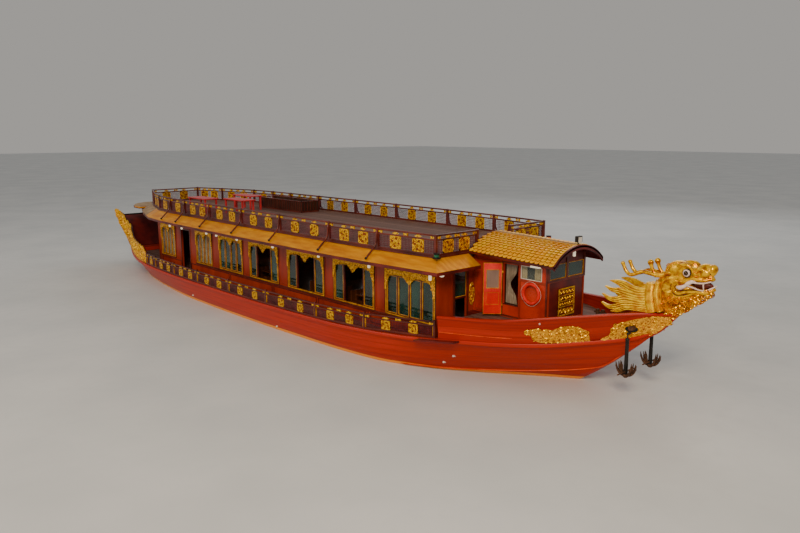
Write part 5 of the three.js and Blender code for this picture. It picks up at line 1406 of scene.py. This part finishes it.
def strewn(name, face, side, us, span, pitch, sizes, scroll_share, lift=0.0):
    """Scrolls and leaves over a field of a face, between the low and high that span gives at each u."""
    scrolls, leaves = [], []
    for u in us:
        low, high = span(u)
        rows = max(1, round((high - low) / pitch))
        for k in range(rows):
            v = low + (high - low) * (k + 0.5 + rng.uniform(-0.15, 0.15)) / rows
            chosen = scrolls if rng.random() < scroll_share else leaves
            chosen.append(laid_on(face, side, u, v, rng.uniform(*sizes), rng.uniform(*ANY_TURN), lift))
    set_out(name + "_scrolls", curl(), scrolls, "gilt", crease=60)
    set_out(name + "_leaves", leaf_stroke(), leaves, "fine_gilt", crease=60)


def face_board(solids, face, us, span, back, front, steps=5):
    """A thin board that follows a face between two distances outboard."""
    rings = []
    for u in us:
        low, high = span(u)
        levels = [low + (high - low) * k / steps for k in range(steps + 1)]
        rings.append([face(u, v, front) for v in levels] + [face(u, v, back) for v in reversed(levels)])
    solids.loft(rings)


def between_rows(rows, u):
    """Low and high at u from a table of u, low and high."""
    for (ua, *a), (ub, *b) in zip(rows, rows[1:]):
        if u <= ub:
            t = max(0.0, (u - ua) / (ub - ua))
            return tuple(p + (q - p) * t for p, q in zip(a, b))
    return tuple(rows[-1][1:])


# Bow: two fields of gilt cloud carving on the bulwark, the forward one round the hawse

def bow_side(side):
    def face(x, z, lift=0.0):
        return Vector((x, side * (across(bow_flare(x), z) + lift), z))
    return face


CLOUD_FIELDS = {
    "aft": ((12.86, 1.71, 1.76), (13.00, 1.67, 1.87), (13.08, 1.50, 1.90), (13.20, 1.45, 1.93),
            (13.30, 1.45, 1.87), (13.42, 1.46, 1.94), (13.50, 1.46, 1.88), (13.68, 1.48, 1.97),
            (13.80, 1.49, 2.02), (13.98, 1.50, 2.06), (14.16, 1.52, 2.01), (14.30, 1.53, 1.92),
            (14.33, 1.55, 1.66)),
    "fore": ((14.62, 1.64, 1.69), (14.80, 1.64, 1.80), (14.92, 1.65, 1.98), (14.97, 1.66, 2.12),
             (15.10, 1.69, 2.22), (15.40, 1.77, 2.35), (15.65, 1.86, 2.44), (15.90, 1.96, 2.51),
             (16.15, 2.14, 2.55), (16.40, 2.40, 2.57)),
}
CLOUD_BACK, CLOUD_FRONT = 0.002, 0.022
for name, side in SIDES:
    face = bow_side(side)
    for field, rows in CLOUD_FIELDS.items():
        aft_x, fore_x = rows[0][0], rows[-1][0]

        def span(u):
            return between_rows(rows, u)
        board = Solids()
        face_board(board, face, spread(aft_x, fore_x, 0.03), span, CLOUD_BACK, CLOUD_FRONT)
        as_piece(f"bow_clouds_{field}_{name}", board, "fine_gilt", crease=50)
        strewn(f"bow_clouds_{field}_{name}", face, side, spread(aft_x + 0.07, fore_x - 0.05, 0.13), span,
               0.14, (0.17, 0.25), 0.75 if field == "aft" else 0.4, CLOUD_FRONT)

# Hawse: a dark lip round a black disc inside the forward field; the disc is painted shade for the inside of
# the pipe
HAWSE_FACE = (15.40, 2.07)
HAWSE_SIZE = (0.29, 0.20, 0.18)
oval = Solids()
oval.prism(arc_points((0, 0), 0.46, 0, 345, 23), -0.06, 0.06)
for name, side in SIDES:
    spot = laid_on(bow_side(side), side, *HAWSE_FACE, 1.0, lift=0.034)
    # the black disc is painted shade for the dark inside of the pipe
    for part, pattern, finish in (("lip", ring_of((0, 0, 0), 0.5, 0.13), "dark"), ("hole", oval, "black")):
        set_out(f"hawse_{part}_{name}", pattern, [Place(spot.at, spot.turn, HAWSE_SIZE)], finish)

# Battens on the bow, one on the chine and one on the bulwark's planking; a bow button and overboard pipes
PIPES = ((10.10, 0.33), (10.50, 0.62), (-4.95, 0.24), (2.10, 0.16))
for name, side in SIDES:
    face = bow_side(side)
    battens = Kit(f"bow_battens_{name}")
    chine = [(x, side * (HULL.at("chine", x) + 0.006), HULL.at("chine_z", x)) for x in spread(8.6, 15.0, 0.2)]
    battens.of("batten").tube(chine, [0.004] + [0.024] * (len(chine) - 2) + [0.004], 8)
    strip = [face(x, 1.47 + 0.03 * (x - 10.3), 0.004) for x in spread(10.34, 12.5, 0.2)]
    battens.of("batten").tube(strip, [0.016] * (len(strip) - 1) + [0.004], 8)
    ball(battens.of("bone"), face(13.30, 2.10, 0.01), (0.035, 0.02, 0.035), 12, 8)
    for x, z in PIPES:
        y = planking_half(x, z)
        battens.of("white").tube([(x, side * (y + d), z) for d in (-0.03, 0.0, 0.05, 0.056)],
                                 [0.045, 0.034, 0.034, 0.026], 12)
    battens.done(crease=50)

# Stern wings: planked bulwarks of the aft deck with a carved gilt face, and two rails across the stern

WingRow = namedtuple("WingRow", "x half low high")
WING = Curve([WingRow(*row) for row in (
    (-17.35, 2.20, 3.10, 3.20), (-16.90, 2.17, 2.48, 3.10), (-16.40, 2.15, 2.00, 2.96),
    (-16.00, 2.14, 1.66, 2.65), (-15.40, 2.16, 1.18, 2.40), (-14.70, 2.42, 1.11, 2.21),
    (-13.10, 2.94, 1.03, 1.88), (-11.50, 3.34, 0.99, 1.80), (-10.85, 3.43, 0.98, 1.72),
    (-10.38, 3.49, 0.98, 1.42))])
WING_THICK = 0.09
WING_SKIN = 0.03


def wing_foot(x):
    """The wings stand on the sheer, and run free aft of the hull."""
    return WING.at("low", x) if x < HULL.rows[0].x else max(WING.at("low", x), HULL.at("sheer_z", x) + 0.003)


def wing_side(side):
    def face(x, t, lift=0.0):
        low, high = wing_foot(x), WING.at("high", x)
        return Vector((x, side * (WING.at("half", x) + lift), low + (high - low) * t))
    return face


def flames(x):
    """Height share of the carved face along the wing, with a row of flame tips leaning aft."""
    rise = (x / 0.44) % 1.0
    return 0.0, 1.0 + 0.13 * (1.0 - rise) ** 1.6


for name, side in SIDES:
    face = wing_side(side)
    wing = Kit(f"stern_wing_{name}", replaces=[f"stern_wing_{name}"])
    along = spread(WING.rows[0].x, WING.rows[-1].x, 0.044)
    face_board(wing.of("gilt"), face, along, flames, -WING_SKIN, 0.0)
    face_board(wing.of("maroon"), face, along, lambda x: (0.0, 1.0), -WING_THICK, -WING_SKIN - SOLID, 2)
    face_board(wing.of("trim"), face, along, lambda x: (0.0, 0.07), -0.01, 0.018, 1)
    face_board(wing.of("rail"), face, along, lambda x: (0.94, 1.0), -WING_THICK - 0.01, -WING_SKIN - 0.002, 1)
    wing.done(crease=50)
    strewn(f"stern_wing_{name}", face, side, spread(-17.15, -10.50, 0.20), lambda x: (0.12, 0.98), 0.22,
           (0.26, 0.42), 0.35)

transom = Kit("transom_rail")
for aft_x, fore_x, foot, top, finish, half in ((-16.86, -16.77, 2.85, 2.92, "dark", 2.065),
                                               (-15.34, -15.27, 1.165, 1.22, "maroon", 2.09)):
    transom.of(finish).box((aft_x, -half, foot), (fore_x, half, top))
transom.done(bevel=0.006)

# Pale tan boards on the canopy aft of the deck and on the aft end of the eave
CANOPY_PLAN = ((-13.905, 2.15), (-14.60, 2.13), (-15.50, 1.78), (-16.10, 1.35), (-16.50, 0.70))
CANOPY = mirrored(CANOPY_PLAN)
PALE_FROM_X = -10.9
pale_overlay = Kit("bleached_boards")
for finish, out, low, high in (("pale", 0.008, 3.506, 3.572), ("maroon", -0.05, 3.476, 3.4997)):
    plan = [tuple(p) for p in reversed(offset(list(reversed(CANOPY)), out))]
    pale_overlay.of(finish).prism(plan, low, high, axis=2)
plan = [p for p in DECK_OUTLINE if p[0] < PALE_FROM_X]
plan = [(PALE_FROM_X, -deck_half(PALE_FROM_X))] + plan + [(PALE_FROM_X, deck_half(PALE_FROM_X))]
closed = [DECK_OUTLINE[0]] + plan + [DECK_OUTLINE[-1]]
section = ((0.004, EAVE_ROOT + 0.001), (EAVE_OUT, EAVE_TIP + 0.001),
           (EAVE_OUT, EAVE_TIP + 0.007), (0.004, EAVE_ROOT + 0.007))
levels = [(offset(closed, out)[1:-1], z) for out, z in section]
pale_overlay.of("pale").loft([[(points[i].x, points[i].y, z) for points, z in levels] for i in range(len(plan))])
pale_overlay.done()


# Dragon: head and neck carved in one, with horns, mane, frills, eyes and teeth

def bent(path, steps=6):
    """A smooth curve through rows of numbers."""
    rows = [path[0]] + list(path) + [path[-1]]
    curve = []
    for a, b, c, d in zip(rows, rows[1:], rows[2:], rows[3:]):
        for k in range(steps):
            t = k / steps
            curve.append(tuple(0.5 * (2 * q + (r - p) * t + (2 * p - 5 * q + 4 * r - s) * t * t
                                      + (3 * q - p - 3 * r + s) * t ** 3) for p, q, r, s in zip(a, b, c, d)))
    return curve + [tuple(path[-1])]


def limb(solids, side, path, sides=12, steps=6):
    """A round limb through rows of x, y, z and radius on one side."""
    curve = bent(path, steps)
    solids.tube([(x, side * y, z) for x, y, z, _ in curve], [r for *_, r in curve], sides)


NECK = (  # height, middle, half length and half breadth of the neck's sections
    (2.52, 16.24, 0.16, 0.05), (2.62, 16.30, 0.26, 0.10), (2.78, 16.38, 0.36, 0.17),
    (2.98, 16.50, 0.52, 0.22), (3.18, 16.56, 0.64, 0.25), (3.42, 16.52, 0.66, 0.29),
    (3.60, 16.46, 0.52, 0.30), (3.76, 16.52, 0.42, 0.29))
HEAD_BALLS = (  # centre and radii of the masses on the middle line
    ((16.57, 0, 3.85), (0.44, 0.28, 0.35)), ((16.98, 0, 3.85), (0.30, 0.21, 0.22)),
    ((17.31, 0, 4.01), (0.27, 0.19, 0.19)), ((17.47, 0, 4.06), (0.13, 0.17, 0.14)),
    ((17.22, 0, 3.90), (0.24, 0.17, 0.16)), ((17.22, 0, 3.79), (0.34, 0.18, 0.09)),
    ((17.14, 0, 3.44), (0.40, 0.15, 0.07)), ((16.70, 0, 3.45), (0.26, 0.28, 0.22)))
SIDE_BALLS = (  # brow, temple, nostril and cheek of one side
    ((16.76, 0.20, 4.02), (0.24, 0.10, 0.19)), ((16.58, 0.22, 3.95), (0.26, 0.09, 0.20)),
    ((17.33, 0.15, 3.96), (0.14, 0.09, 0.12)), ((16.62, 0.25, 3.62), (0.20, 0.08, 0.12)))
LIPS = (  # rolled lips and jaw of one side: x, y, z and radius
    ((16.60, 0.24, 3.66, 0.05), (16.76, 0.27, 3.66, 0.07), (17.00, 0.22, 3.78, 0.06),
     (17.30, 0.15, 3.76, 0.05), (17.50, 0.05, 3.82, 0.04)),
    ((16.64, 0.26, 3.64, 0.03), (16.53, 0.28, 3.55, 0.05), (16.53, 0.28, 3.42, 0.06),
     (16.66, 0.27, 3.33, 0.06), (16.86, 0.23, 3.39, 0.06), (17.10, 0.18, 3.42, 0.06),
     (17.36, 0.12, 3.42, 0.06), (17.54, 0.03, 3.52, 0.05)),
    ((16.56, 0.26, 3.66, 0.02), (16.45, 0.29, 3.55, 0.03), (16.45, 0.29, 3.38, 0.035),
     (16.60, 0.27, 3.24, 0.035), (16.80, 0.23, 3.26, 0.035), (17.05, 0.18, 3.34, 0.035),
     (17.30, 0.12, 3.34, 0.03)),
    ((17.08, 0.17, 3.96, 0.05), (17.18, 0.21, 4.07, 0.055), (17.32, 0.20, 4.02, 0.05),
     (17.27, 0.19, 3.89, 0.045), (17.18, 0.17, 3.82, 0.035)),
    ((16.56, 0.24, 4.02, 0.03), (16.68, 0.29, 4.11, 0.05), (16.84, 0.29, 4.14, 0.05),
     (16.98, 0.26, 4.07, 0.045), (17.03, 0.23, 3.93, 0.03)))
GROOVE_SHADE = (  # dark lines round the mouth, painted shade in the grooves beside the rolled lips: x, y, z and radius
    ((16.62, 0.30, 3.67, 0.006), (16.485, 0.318, 3.57, 0.015), (16.485, 0.318, 3.39, 0.016),
     (16.63, 0.305, 3.275, 0.016), (16.83, 0.268, 3.31, 0.016), (17.06, 0.215, 3.385, 0.014),
     (17.34, 0.15, 3.385, 0.006)),
    ((16.66, 0.315, 3.60, 0.006), (16.59, 0.333, 3.50, 0.012), (16.66, 0.325, 3.405, 0.013),
     (16.84, 0.288, 3.445, 0.013), (17.06, 0.232, 3.47, 0.012), (17.34, 0.16, 3.45, 0.006)))
# Angle in degrees and reach of the ear's edge
EAR = ((82, 0.15), (120, 0.20), (155, 0.28), (175, 0.38), (190, 0.44), (214, 0.39), (240, 0.25), (262, 0.14))
EAR_PIVOT = (16.62, 0.26, 3.53)
EAR_STEPS = 42


def ear(solids, side):
    """A ribbed shell fanning aft from behind the jaw."""
    rings = []
    for i in range(EAR_STEPS + 1):
        turn = EAR[0][0] + (EAR[-1][0] - EAR[0][0]) * i / EAR_STEPS
        reach = between_rows(EAR, turn)[0]
        rib = 0.010 * math.cos(turn * math.pi / 13)
        out = [(share, 0.045 + 0.05 * share + rib * share) for share in (0.1, 0.4, 0.75, 1.0)]
        back = [(1.0, 0.02), (0.1, -0.06)]
        a = math.radians(turn)
        rings.append([(EAR_PIVOT[0] + reach * share * math.cos(a), side * (EAR_PIVOT[1] + lift),
                       EAR_PIVOT[2] + reach * share * math.sin(a)) for share, lift in out + back])
    solids.loft(rings)


VOXEL = 0.013


def dragon_head():
    """Neck, skull, lips, jaw and ears run together and smoothed, as carved from one block."""
    flesh = Solids()
    turns = [2 * math.pi * k / 24 for k in range(24)]
    flesh.loft([[(x + a * math.cos(t), b * math.sin(t), z) for t in turns] for z, x, a, b in NECK])
    for centre, radii in HEAD_BALLS:
        ball(flesh, centre, radii)
    for _, side in SIDES:
        for (x, y, z), radii in SIDE_BALLS:
            ball(flesh, (x, side * y, z), radii)
        for path in LIPS:
            limb(flesh, side, path)
        ear(flesh, side)
    head = linked("dragon_head_carved", flesh.mesh("dragon_head_carved"))
    baked(head, "REMESH", mode="VOXEL", voxel_size=VOXEL)
    baked(head, "SMOOTH", factor=0.5, iterations=3)
    finished(head, "dragon", replaces=["dragon_head"], crease=60)


EYE_X, EYE_Z = 16.885, 3.925
EYE = (  # finish, distance off the middle line, radius and bulge, from the rim inwards
    ("black", 0.292, 0.121, 0.048), ("bone", 0.302, 0.106, 0.052), ("black", 0.338, 0.068, 0.024),
    ("trim", 0.353, 0.030, 0.012), ("black", 0.360, 0.020, 0.008))
TEETH = (  # the steps of each curve, then the white lip above, the lip below and a fang: x, y, z and radius
    (4, ((16.64, 0.29, 3.50, 0.045), (16.74, 0.30, 3.50, 0.065), (16.85, 0.275, 3.56, 0.05),
         (16.92, 0.25, 3.64, 0.065), (17.02, 0.22, 3.70, 0.06), (17.12, 0.20, 3.67, 0.028),
         (17.30, 0.155, 3.68, 0.024), (17.48, 0.07, 3.74, 0.02))),
    (4, ((16.88, 0.24, 3.56, 0.028), (17.04, 0.205, 3.53, 0.026), (17.20, 0.17, 3.48, 0.024),
         (17.34, 0.14, 3.47, 0.026), (17.46, 0.09, 3.53, 0.024), (17.585, 0.02, 3.62, 0.014))),
    (3, ((17.30, 0.16, 3.69, 0.026), (17.31, 0.16, 3.58, 0.020), (17.325, 0.155, 3.46, 0.012))))


def dragon_face():
    """Eyes, white lips, fangs, the red of the mouth and the painted shade in the grooves round it."""
    face = Kit("dragon_face")
    ball(face.of("mouth"), (17.16, 0.0, 3.60), (0.36, 0.125, 0.13))
    for _, side in SIDES:
        for finish, depth, radius, bulge in EYE:
            ball(face.of(finish), (EYE_X, side * depth, EYE_Z), (radius, bulge, radius))
        # dark lines along the grooves round the mouth: painted shade
        for path in GROOVE_SHADE:
            limb(face.of("mouth"), side, path, 8, 5)
        ball(face.of("mouth"), (17.44, side * 0.14, 3.95), (0.045, 0.03, 0.035))
        for steps, path in TEETH:
            limb(face.of("bone"), side, path, 8, steps)
    face.done(crease=60)


HORN = ((16.60, 0.20, 3.97, 0.070), (16.34, 0.21, 3.83, 0.070), (16.05, 0.21, 3.73, 0.066),
        (15.80, 0.20, 3.745, 0.062), (15.52, 0.20, 3.76, 0.058), (15.30, 0.20, 3.66, 0.056),
        (15.14, 0.20, 3.63, 0.054), (15.01, 0.20, 3.73, 0.052), (14.93, 0.20, 3.88, 0.050),
        (14.90, 0.20, 3.94, 0.060), (14.885, 0.20, 3.98, 0.030))
PRONG = ((15.97, 0.20, 3.68, 0.055), (15.86, 0.20, 3.83, 0.052), (15.80, 0.20, 3.97, 0.054),
         (15.775, 0.20, 4.05, 0.086), (15.77, 0.20, 4.11, 0.072), (15.77, 0.20, 4.145, 0.028))
LOCKS = (  # each lock from its root: x, z and half width
    ((15.85, 3.25, 0.12), (15.52, 3.20, 0.115), (15.24, 3.25, 0.11), (15.02, 3.33, 0.100),
     (14.82, 3.37, 0.070), (14.60, 3.39, 0.012)),
    ((15.85, 3.10, 0.11), (15.52, 3.05, 0.12), (15.18, 3.08, 0.12), (14.90, 3.12, 0.095),
     (14.66, 3.12, 0.060), (14.45, 3.20, 0.012)),
    ((15.85, 2.94, 0.10), (15.55, 2.92, 0.11), (15.12, 2.93, 0.12), (14.84, 2.85, 0.095),
     (14.58, 2.85, 0.060), (14.36, 2.96, 0.012)),
    ((15.85, 2.80, 0.09), (15.55, 2.79, 0.10), (15.10, 2.74, 0.11), (14.82, 2.63, 0.090),
     (14.58, 2.60, 0.055), (14.35, 2.70, 0.012)),
    ((15.85, 2.69, 0.07), (15.60, 2.69, 0.07), (15.20, 2.67, 0.08), (15.00, 2.58, 0.070),
     (14.84, 2.51, 0.045), (14.67, 2.48, 0.012)))
FRILLS = (  # frill bands down the neck: x, z and half width, with the count of ribs
    (((15.88, 3.50, 0.12), (15.85, 3.20, 0.13), (15.88, 2.90, 0.13), (15.95, 2.66, 0.12)), 26),
    (((16.09, 3.55, 0.065), (16.06, 3.25, 0.07), (16.10, 2.95, 0.07), (16.20, 2.72, 0.06)), 24))


def ribbon(solids, side, curve, section):
    """A flat carved ribbon along a curve of x, z and half width; section gives y across it."""
    rings = []
    for i, (x, z, half) in enumerate(curve):
        a, b = curve[max(i - 1, 0)], curve[min(i + 1, len(curve) - 1)]
        along = Vector((b[0] - a[0], b[1] - a[1])).normalized()
        rings.append([(x - along.y * u * half, side * y, z + along.x * u * half)
                      for u, y in section(i / (len(curve) - 1))])
    solids.loft(rings)


def grooved(_):
    """Section of a lock, with three rounded strands."""
    outer = [(u, 0.332 + 0.024 * math.sqrt(1 - 0.9 * u * u) + 0.014 * abs(math.cos(1.5 * math.pi * u)))
             for u in [k / 9 - 1 for k in range(19)]]
    return outer + [(1.0, 0.27), (-1.0, 0.27)]


def groove_shade_strip(middle):
    """Section of a dark strip along a lock, painted shade in the valley beside a strand."""
    def section(_):
        low, high = middle - 0.075, middle + 0.075
        return [(low, 0.358), (high, 0.358), (high, 0.340), (low, 0.340)]
    return section


def ribbed(count):
    """Section of a frill, raised in a count of ribs along it."""
    def section(t):
        crest = 0.020 * abs(math.sin(math.pi * count * t))
        return [(-1.0, 0.355), (-0.7, 0.375 + crest), (0.0, 0.385 + crest), (0.7, 0.375 + crest),
                (1.0, 0.355), (1.0, 0.20), (-1.0, 0.20)]
    return section


dragon_head()
dragon_face()
for name, side in SIDES:
    horns = Kit(f"dragon_horn_{name}", replaces=[f"dragon_horn_{name}"])
    for path in (HORN, PRONG):
        limb(horns.of("dragon"), side, path, 14, 5)
    horns.done(crease=60)
    mane = Kit(f"dragon_mane_{name}", replaces=[f"dragon_mane_{name}"])
    for path in LOCKS:
        ribbon(mane.of("mane"), side, bent(path, 9), grooved)
        # dark strips in the valleys between the strands: painted shade
        for middle in (-0.33, 0.33):
            ribbon(mane.of("ground"), side, bent(path, 9)[8:-6], groove_shade_strip(middle))
    for path, count in FRILLS:
        ribbon(mane.of("mane"), side, bent(path, 44), ribbed(count))
    side_box(mane.of("dragon"), side, 15.62, 16.20, 0.06, 0.30, 2.70, 3.44)
    mane.done(crease=50)
    curls = []
    for i in range(13):
        t = i / 12
        x, z = 16.30 + 1.18 * t, 2.46 + 0.90 * t
        for y, lift in ((0.05, 0.0), (0.13, 0.08)):
            curls.append(Place((x - 0.10 * lift / 0.08, side * (y + 0.06 * math.sin(t * math.pi)), z + lift),
                               facing((0.5, side * 0.8, -0.6), 1.7 * i + side), (0.20, 0.26, 0.20)))
    for x0, z, breadth, count in ((16.26, 2.74, 0.14, 2), (16.26, 2.92, 0.21, 4), (16.30, 3.10, 0.25, 5)):
        for i in range(count):
            curls.append(Place((x0 + 0.17 * i, side * breadth, z + 0.03 * (i % 2)),
                               facing((0.25, side, -0.2), 1.3 * i + z), (0.23, 0.4, 0.23)))
    for i in range(6):
        x = 16.32 + 0.10 * i
        curls.append(Place((x, side * 0.235, 4.05 + 0.07 * math.sin(0.55 * i)),
                           facing((0.0, side, 0.75), 2.1 * i), (0.15, 0.22, 0.15)))
    set_out(f"dragon_curls_{name}", curl(), curls, "dragon", crease=60)


# Anchors: rusty grapnels hung from the hawse pipes

ANCHOR_X, ANCHOR_Y, ANCHOR_TOP, ANCHOR_CROWN = 15.47, 0.70, 2.04, 0.76
# Turn in degrees, reach and rise of each arm
ARMS = ((0.0, 0.33, 0.36), (-32.0, 0.27, 0.34), (32.0, 0.27, 0.34), (-14.0, 0.21, 0.40), (14.0, 0.21, 0.40))
for name, side in SIDES:
    anchor = Kit(f"anchor_{name}", replaces=[f"anchor_{name}"])
    x, y = ANCHOR_X, side * ANCHOR_Y
    shank = [(x, y, z) for z in (ANCHOR_CROWN, ANCHOR_CROWN + 0.1, 1.30, 1.80, 1.84, 1.88)]
    anchor.of("dark").tube(shank, [0.066, 0.060, 0.054, 0.052, 0.064, 0.034], 12)
    anchor.of("dark").tube([(x, y, z) for z in (1.87, 1.94, ANCHOR_TOP - 0.03)], 0.016, 8)
    side_box(anchor.of("dark"), side, x - 0.022, x + 0.022, HAWSE[1] + SOLID, ANCHOR_Y + 0.03,
             ANCHOR_TOP - 0.06, ANCHOR_TOP)
    ball(anchor.of("iron"), (x, y, ANCHOR_CROWN), (0.085, 0.085, 0.07))
    for end in (-1, 1):
        for turn, reach, rise in ARMS:
            along = Vector((end * math.cos(math.radians(turn)), math.sin(math.radians(turn)), 0.0))
            rows = [(0.0, 0.0, 0.040), (0.5, 0.14, 0.036), (0.86, 0.52, 0.028), (1.0, 1.0, 0.010)]
            path = bent([tuple(Vector((x, y, ANCHOR_CROWN + rise * h)) + along * (reach * r)) + (thick,)
                         for r, h, thick in rows], 4)
            anchor.of("iron").tube([row[:3] for row in path], [row[3] for row in path], 8)
            palm = [Vector((x, y, ANCHOR_CROWN + rise * h)) + along * (reach * r)
                    for r, h in ((0.80, 0.46), (0.92, 0.62), (0.99, 0.92))]
            anchor.of("iron").tube(palm, [0.020, 0.050, 0.012], 6, 0.5)
        anchor.of("iron").tube([(x, y + end * d, ANCHOR_CROWN + 0.12) for d in (0.0, 0.3, 0.44, 0.45)],
                               [0.026, 0.022, 0.022, 0.010], 10)
    anchor.done(crease=45)


# Curtains: gathered linen in the aft windows, in the wheelhouse doorways and beside its side windows

FULLNESS = 1.6
TIED_SHARE = 0.4
TIE_REACH = 0.28


def curtain(name, finish, x0, x1, y, low, high, folds, tied=None):
    """A curtain hung between x0 and x1, drawn together towards x0 at the height where it is tied."""
    cloth = (x1 - x0) * FULLNESS
    solids = Solids()
    rings = []
    for z in spread(low, high, 0.09):
        near = math.exp(-((z - tied) / TIE_REACH) ** 2) if tied else 0.0
        width = (x1 - x0) * (1 - (1 - TIED_SHARE) * near)
        depth = math.sqrt(cloth ** 2 - width ** 2) / (4 * folds) * 0.94
        us = [k / (folds * 8) for k in range(folds * 8 + 1)]
        line = [(x0 + width * u, y + depth * math.sin(2 * math.pi * folds * u), z) for u in us]
        rings.append(line + [(a, b + 0.002, c) for a, b, c in reversed(line)])
    solids.loft(rings)
    cloth_piece = as_piece(name, solids, finish, crease=80)


for name, side in SIDES:
    for i in (5, 6):
        w = WINDOWS[i]
        curtain(f"curtain_{i}_{name}", "cream", w.x - w.width / 2 + 0.06, w.x + w.width / 2 - 0.06,
                side * (SALOON_HALF - 0.13), SILL + 0.03, HEAD - 0.03, 12)
    y = side * (WHEELHOUSE_HALF - 0.10)
    curtain(f"door_curtain_{name}", "curtain", 11.15, 11.60, y, 2.22, 3.56, 6, 2.86)
    y = side * (WHEELHOUSE_HALF - 0.0145)
    for i, (x0, x1) in enumerate(((11.85, 12.05), (12.34, 12.60))):
        curtain(f"wheelhouse_curtain_{i}_{name}", "cream", x0, x1, y, 3.15, 3.52, 8)


# Lamps and lights: lanterns in the saloon, and at the deck's fore corners a sidelight over a hanging lamp

HOOP_RADIUS = 0.30
LIGHT_X, LIGHT_Y = 10.0, 2.95
for k, x in enumerate((8.6, 5.67, 2.70, -0.30, -3.00)):
    lantern = Kit(f"saloon_lantern_{k}")
    lantern.of("dark").tube([(x, 0.0, z) for z in (3.64, 3.2, 2.95)], 0.012, 8)
    hoop = ring_of((x, 0.0, 2.88), HOOP_RADIUS, 0.022, axis=2, turns=28, sides=8)
    lantern.of("trim").add(hoop.points, hoop.faces)
    for i in range(8):
        a = math.pi / 4 * i
        at = (x + HOOP_RADIUS * math.cos(a), HOOP_RADIUS * math.sin(a), 2.80)
        lantern.of("trim").tube([(x, 0.0, 2.99), at[:2] + (2.89,)], 0.010, 6)
        ball(lantern.of("lamp"), at, (0.055, 0.055, 0.075), 12, 8)
    lantern.done(crease=50)
for name, side in SIDES:
    lights = Kit(f"deck_lights_{name}")
    y = side * LIGHT_Y
    lens = "green" if side < 0 else "red"
    lights.of("dark").box((LIGHT_X - 0.10, y - 0.09, 3.752), (LIGHT_X + 0.10, y + 0.09, 3.80))
    for finish, x, levels, radii, sides in (
            (lens, LIGHT_X, (3.80, 3.81, 3.88, 3.90), [0.08, 0.092, 0.092, 0.06], 14),
            ("dark", LIGHT_X, (3.895, 3.90, 3.93, 3.94), [0.06, 0.098, 0.098, 0.03], 14),
            ("dark", LIGHT_X + 0.24, (3.49, 3.40, 3.33, 3.325), [0.02, 0.07, 0.11, 0.11], 16),
            ("lamp", LIGHT_X + 0.24, (3.325, 3.30, 3.22, 3.20), [0.085, 0.09, 0.07, 0.02], 16)):
        lights.of(finish).tube([(x, y, z) for z in levels], radii, sides)
    lights.done(crease=50)
low, high = [Vector(corner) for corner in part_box("floodlight")]
flood = Kit("floodlight_lens")
flood.of("white").box((high.x - 0.002, low.y + 0.03, high.z - 0.20),
                      (high.x + 0.006, high.y - 0.03, high.z - 0.03))
flood.done(bevel=0.003)

# Stair coaming: capping and upright slats
low, high = [Vector(corner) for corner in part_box("stair_coaming")]
SLAT_PITCH = 0.16
cap = Kit("coaming_trim")
for x0, x1, y0, y1 in ((low.x, high.x, low.y, low.y), (low.x, high.x, high.y, high.y),
                       (low.x, low.x, low.y, high.y), (high.x, high.x, low.y, high.y)):
    for out, foot, top in ((0.03, high.z + SOLID, high.z + 0.035), (0.012, low.z + SOLID, low.z + 0.06)):
        cap.of("rail").box((x0 - out, y0 - out, foot), (x1 + out, y1 + out, top))
slats = [(x, y, 0.014, 0.007) for y in (low.y - 0.008, high.y + 0.008)
         for x in spread(low.x, high.x, SLAT_PITCH)]
slats += [(x, y, 0.007, 0.014) for x in (low.x - 0.008, high.x + 0.008)
          for y in spread(low.y, high.y, SLAT_PITCH)]
for x, y, dx, dy in slats:
    cap.of("rail").box((x - dx, y - dy, low.z + 0.06), (x + dx, y + dy, high.z - SOLID))
cap.done()


# Stage: floor at the water level, soft light and the camera

FLOOR_HALF = 260
AIM = (2, 0, 1.5)


def stage_floor():
    solids = Solids()
    solids.box((-FLOOR_HALF, -FLOOR_HALF, -0.02), (FLOOR_HALF, FLOOR_HALF, 0.0))
    floor = linked("stage_floor", solids.mesh("stage_floor"))
    paint = painted("stage_floor_paint", "#D9DCDE", "#CDD1D4", 4.0, 0.5, 0.75, depth=0.0002)
    floor.data.materials.append(paint)


def soft_light():
    world = bpy.data.worlds.new("studio")
    world.use_nodes = True
    background = world.node_tree.nodes["Background"]
    background.inputs["Color"].default_value = hex_rgb("#E2DED8")
    background.inputs["Strength"].default_value = 0.5
    bpy.context.scene.world = world
    for name, place, energy, size, colour in (
            ("key", (34, -30, 26), 12500, 12, "#FFE6C4"), ("fill", (-20, -40, 20), 4500, 24, "#F8EEE0"),
            ("back", (-10, 40, 30), 4500, 26, "#F2F0EC")):
        light = bpy.data.lights.new(name, "AREA")
        light.energy, light.size, light.color = energy, size, hex_rgb(colour)[:3]
        lamp = bpy.data.objects.new(name, light)
        lamp.location = place
        lamp.rotation_euler = (Vector(AIM) - Vector(place)).to_track_quat("-Z", "Y").to_euler()
        bpy.context.scene.collection.objects.link(lamp)


CAMERA_AT = (25.967, -19.305, 7.703)
CAMERA_TILT, CAMERA_HEADING = math.radians(79.59), math.radians(47.2)
LENS_MM, SENSOR_MM = 33.08, 36.0


def photo_camera():
    lens = bpy.data.cameras.new("camera")
    lens.sensor_width = SENSOR_MM
    lens.lens = LENS_MM
    lens.clip_end = 600.0
    camera = bpy.data.objects.new("camera", lens)
    camera.location = CAMERA_AT
    camera.rotation_euler = Euler((CAMERA_TILT, 0.0, CAMERA_HEADING))
    bpy.context.scene.collection.objects.link(camera)
    bpy.context.scene.camera = camera


stage_floor()
soft_light()
photo_camera()
